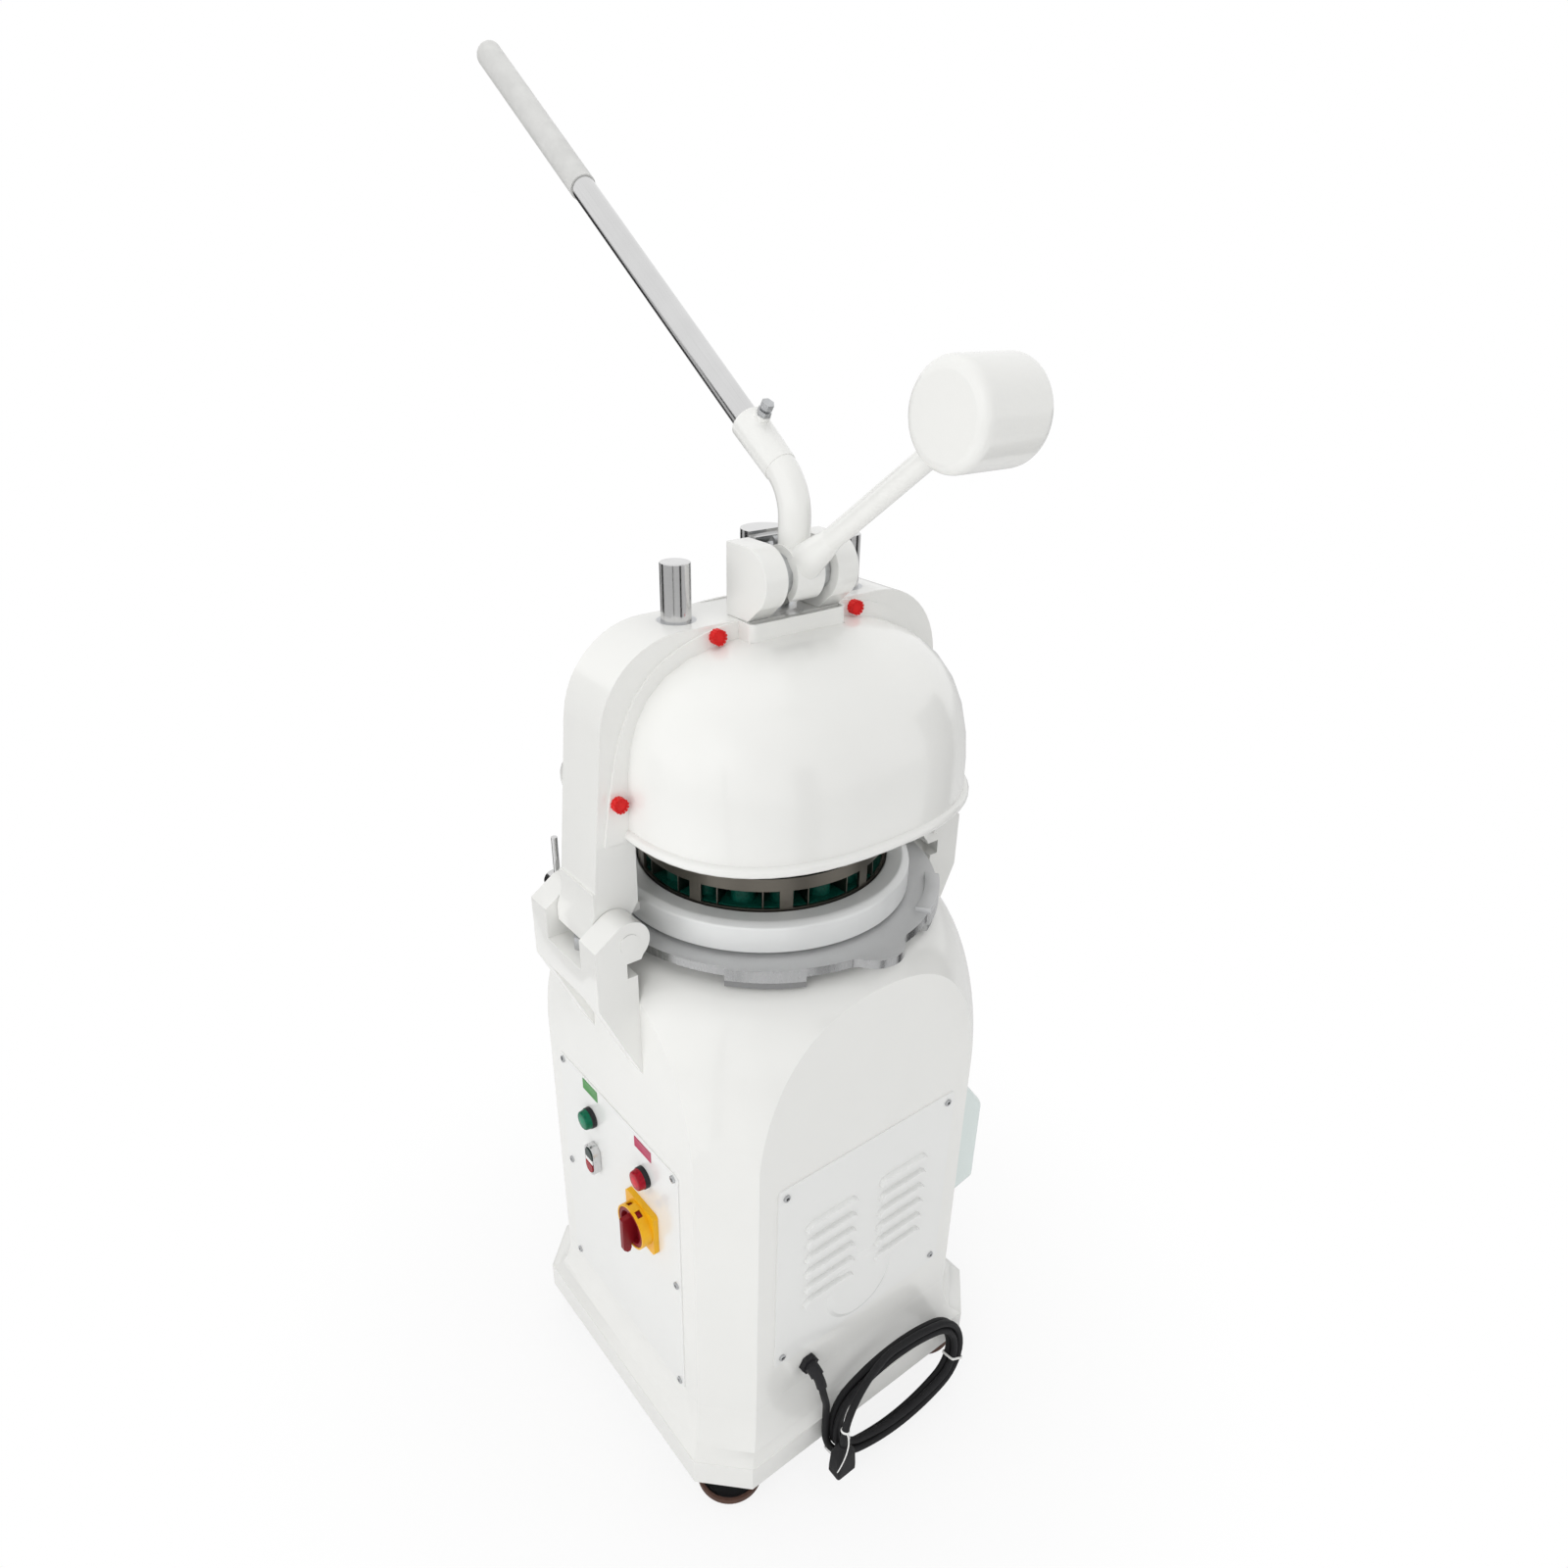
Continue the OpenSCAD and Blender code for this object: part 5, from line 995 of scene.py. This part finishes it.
class ROUNDER_OT_screws(bpy.types.Operator):
    """Pan-head screws of the two panels, each with a recess"""

    bl_idname = "rounder.screws"
    bl_label = "Panel screws"

    # Thickness of the vent panel, places of the screws on the two panels, and size of a head
    PANEL = 0.002
    CONTROL_SIDE = 0.012
    CONTROL_END = 0.010
    VENT_X = 0.160
    VENT_Z = (0.297, 0.633)
    HEAD_R = 0.00575
    HEAD_H = 0.0024

    # Steps of the head's face: share of its radius drawn in, share of its height raised
    HEAD_STEPS = ((0.22, 0.18), (0.28, 0.08), (0.04, -0.5), (0.2, -0.15))
    # Share of the radius inside which the recess is painted black as shade
    SHADED_RECESS = 0.48
    UNDERSIDE = 0.0001
    FACE_LEFT = Matrix.Rotation(math.radians(-90.0), 4, "Y")
    FACE_FRONT = Matrix.Rotation(math.radians(90.0), 4, "X")

    def execute(self, context):
        pattern = self.screw()
        heads = []
        low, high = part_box("control_panel")
        for across in (low[1] + self.CONTROL_SIDE, high[1] - self.CONTROL_SIDE):
            for up in (low[2] + self.CONTROL_END, (low[2] + high[2]) / 2, high[2] - self.CONTROL_END):
                heads.append(self.copy(pattern, (low[0], across, up), self.FACE_LEFT))
        low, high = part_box("pedestal_shell")
        face = low[1] - self.PANEL
        for along in (-self.VENT_X, self.VENT_X):
            for up in self.VENT_Z:
                heads.append(self.copy(pattern, (along, face, up), self.FACE_FRONT))
        bpy.data.objects.remove(pattern)
        bpy.ops.object.select_all(action="DESELECT")
        for head in heads:
            head.select_set(True)
        context.view_layer.objects.active = heads[0]
        bpy.ops.object.join()
        heads[0].name = "panel_screw_heads"
        settle(heads[0], "frame")
        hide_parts("panel_screws")
        return {"FINISHED"}

    def screw(self):
        """One head that looks up, with a round-bottomed recess painted black as shade."""
        bpy.ops.object.select_all(action="DESELECT")
        bpy.ops.mesh.primitive_cylinder_add(vertices=24, radius=self.HEAD_R, depth=self.HEAD_H)
        piece = bpy.context.active_object
        edit(piece)
        bpy.ops.transform.translate(value=(0.0, 0.0, self.HEAD_H / 2))
        pick_faces(piece, lambda centre, normal: normal.z > 0.9)
        for inwards, rise in self.HEAD_STEPS:
            bpy.ops.mesh.inset(thickness=self.HEAD_R * inwards, depth=self.HEAD_H * rise)
        done()
        wear(piece, bpy.data.materials["zinc_steel"])
        # Painted shade: the faces in the recess take black plastic
        part_paint(piece, bpy.data.materials["black_moulding"], self.in_shaded_recess)
        return smooth(piece, 40.0)

    def in_shaded_recess(self, centre, normal):
        """Whether a face of the head lies in its recess, which is painted black as shade."""
        inside = centre.xy.length < self.HEAD_R * self.SHADED_RECESS
        return inside and self.UNDERSIDE < centre.z < self.HEAD_H

    def copy(self, pattern, place, turn):
        """A copy of the head at its place, with its own mesh."""
        head = bpy.data.objects.new("screw_head", pattern.data.copy())
        bpy.context.scene.collection.objects.link(head)
        head.data.transform(Matrix.Translation(place) @ turn)
        return head


class ROUNDER_OT_labels(bpy.types.Operator):
    """Bare coloured plates above the pilot lamps, and the middle of the push button"""

    bl_idname = "rounder.labels"
    bl_label = "Lamp plates"

    # Plates: the panel's face, their thickness, corners across and up, rim, groove and edge
    FACE = -0.2735
    THICK = 0.0009
    GREEN_PLATE = ((0.052, 0.632), (0.096, 0.652))
    RED_PLATE = ((-0.102, 0.630), (-0.057, 0.649))
    PLATE_RIM = 0.0014
    PLATE_GROOVE = 0.0003
    PLATE_EDGE = 0.0002

    # Middle of the push button: how far it stands out and reaches in, half its width and height, its step
    MIDDLE_OUT = 0.0006
    MIDDLE_IN = 0.0012
    MIDDLE_HALF = (0.0108, 0.0043)
    MIDDLE_STEP = (0.0012, 0.0004)
    MIDDLE_EDGE = 0.0003

    def execute(self, context):
        colours = context.scene.rounder_colours
        self.plate("green_plate", colours.green_label, *self.GREEN_PLATE, "lens_green")
        self.plate("red_plate", colours.red_label, *self.RED_PLATE, "lens_red")
        self.middle()
        return {"FINISHED"}

    def middle(self):
        """White piece between the two push buttons."""
        low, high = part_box("button_bezel")
        across, up = (low[1] + high[1]) / 2, (low[2] + high[2]) / 2
        wide, tall = self.MIDDLE_HALF
        piece = grid_box("button_middle", (low[0] - self.MIDDLE_OUT, across - wide, up - tall),
                         (low[0] + self.MIDDLE_IN, across + wide, up + tall))
        edit(piece)
        pick_faces(piece, lambda centre, normal: normal.x < -0.5)
        bpy.ops.mesh.inset(thickness=self.MIDDLE_STEP[0], depth=self.MIDDLE_STEP[1])
        done()
        wear(piece, bpy.data.materials["tie_nylon"])
        rounded_edges(piece, self.MIDDLE_EDGE)
        smooth(piece)
        settle(piece, "frame")

    def plate(self, name, colour, low, high, slot):
        """One plate between two corners of the panel's face, with a groove inside its rim."""
        piece = grid_box(name, (self.FACE - self.THICK, *low), (self.FACE, *high))
        edit(piece)
        pick_faces(piece, lambda centre, normal: normal.x < -0.5)
        bpy.ops.mesh.inset(thickness=self.PLATE_RIM, depth=0.0)
        bpy.ops.mesh.inset(thickness=self.PLATE_GROOVE, depth=-self.PLATE_GROOVE)
        done()
        wear(piece, moulded(name + "_print", colour, 0.36))
        rounded_edges(piece, self.PLATE_EDGE, 1)
        smooth(piece)
        settle(piece, "frame")


class ROUNDER_PT_sidebar(bpy.types.Panel):
    """Lists the pieces and their values"""

    bl_label = "Divider rounder"
    bl_space_type = "VIEW_3D"
    bl_region_type = "UI"
    bl_category = "Rounder"

    def draw(self, context):
        for operator in OPERATORS:
            self.layout.operator(operator.bl_idname)
        for group in (context.scene.rounder_colours, context.scene.rounder_cord, context.scene.rounder_stage):
            box = self.layout.box()
            for name in group.bl_rna.properties.keys():
                if name not in ("name", "rna_type"):
                    box.prop(group, name)


OPERATORS = (
    ROUNDER_OT_stage,
    ROUNDER_OT_finishes,
    ROUNDER_OT_cord,
    ROUNDER_OT_castings,
    ROUNDER_OT_screws,
    ROUNDER_OT_labels,
)
GROUPS = {
    "rounder_colours": RounderColours,
    "rounder_cord": RounderCord,
    "rounder_stage": RounderStage,
}


def register():
    for name, group in GROUPS.items():
        bpy.utils.register_class(group)
        setattr(bpy.types.Scene, name, PointerProperty(type=group))
    for operator in OPERATORS:
        bpy.utils.register_class(operator)
    bpy.utils.register_class(ROUNDER_PT_sidebar)


def unregister():
    bpy.utils.unregister_class(ROUNDER_PT_sidebar)
    for operator in reversed(OPERATORS):
        bpy.utils.unregister_class(operator)
    for name, group in GROUPS.items():
        delattr(bpy.types.Scene, name)
        bpy.utils.unregister_class(group)


def main():
    """Registers the add-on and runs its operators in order."""
    register()
    for operator in OPERATORS:
        group, name = operator.bl_idname.split(".")
        getattr(getattr(bpy.ops, group), name)()


if __name__ == "__main__":
    main()
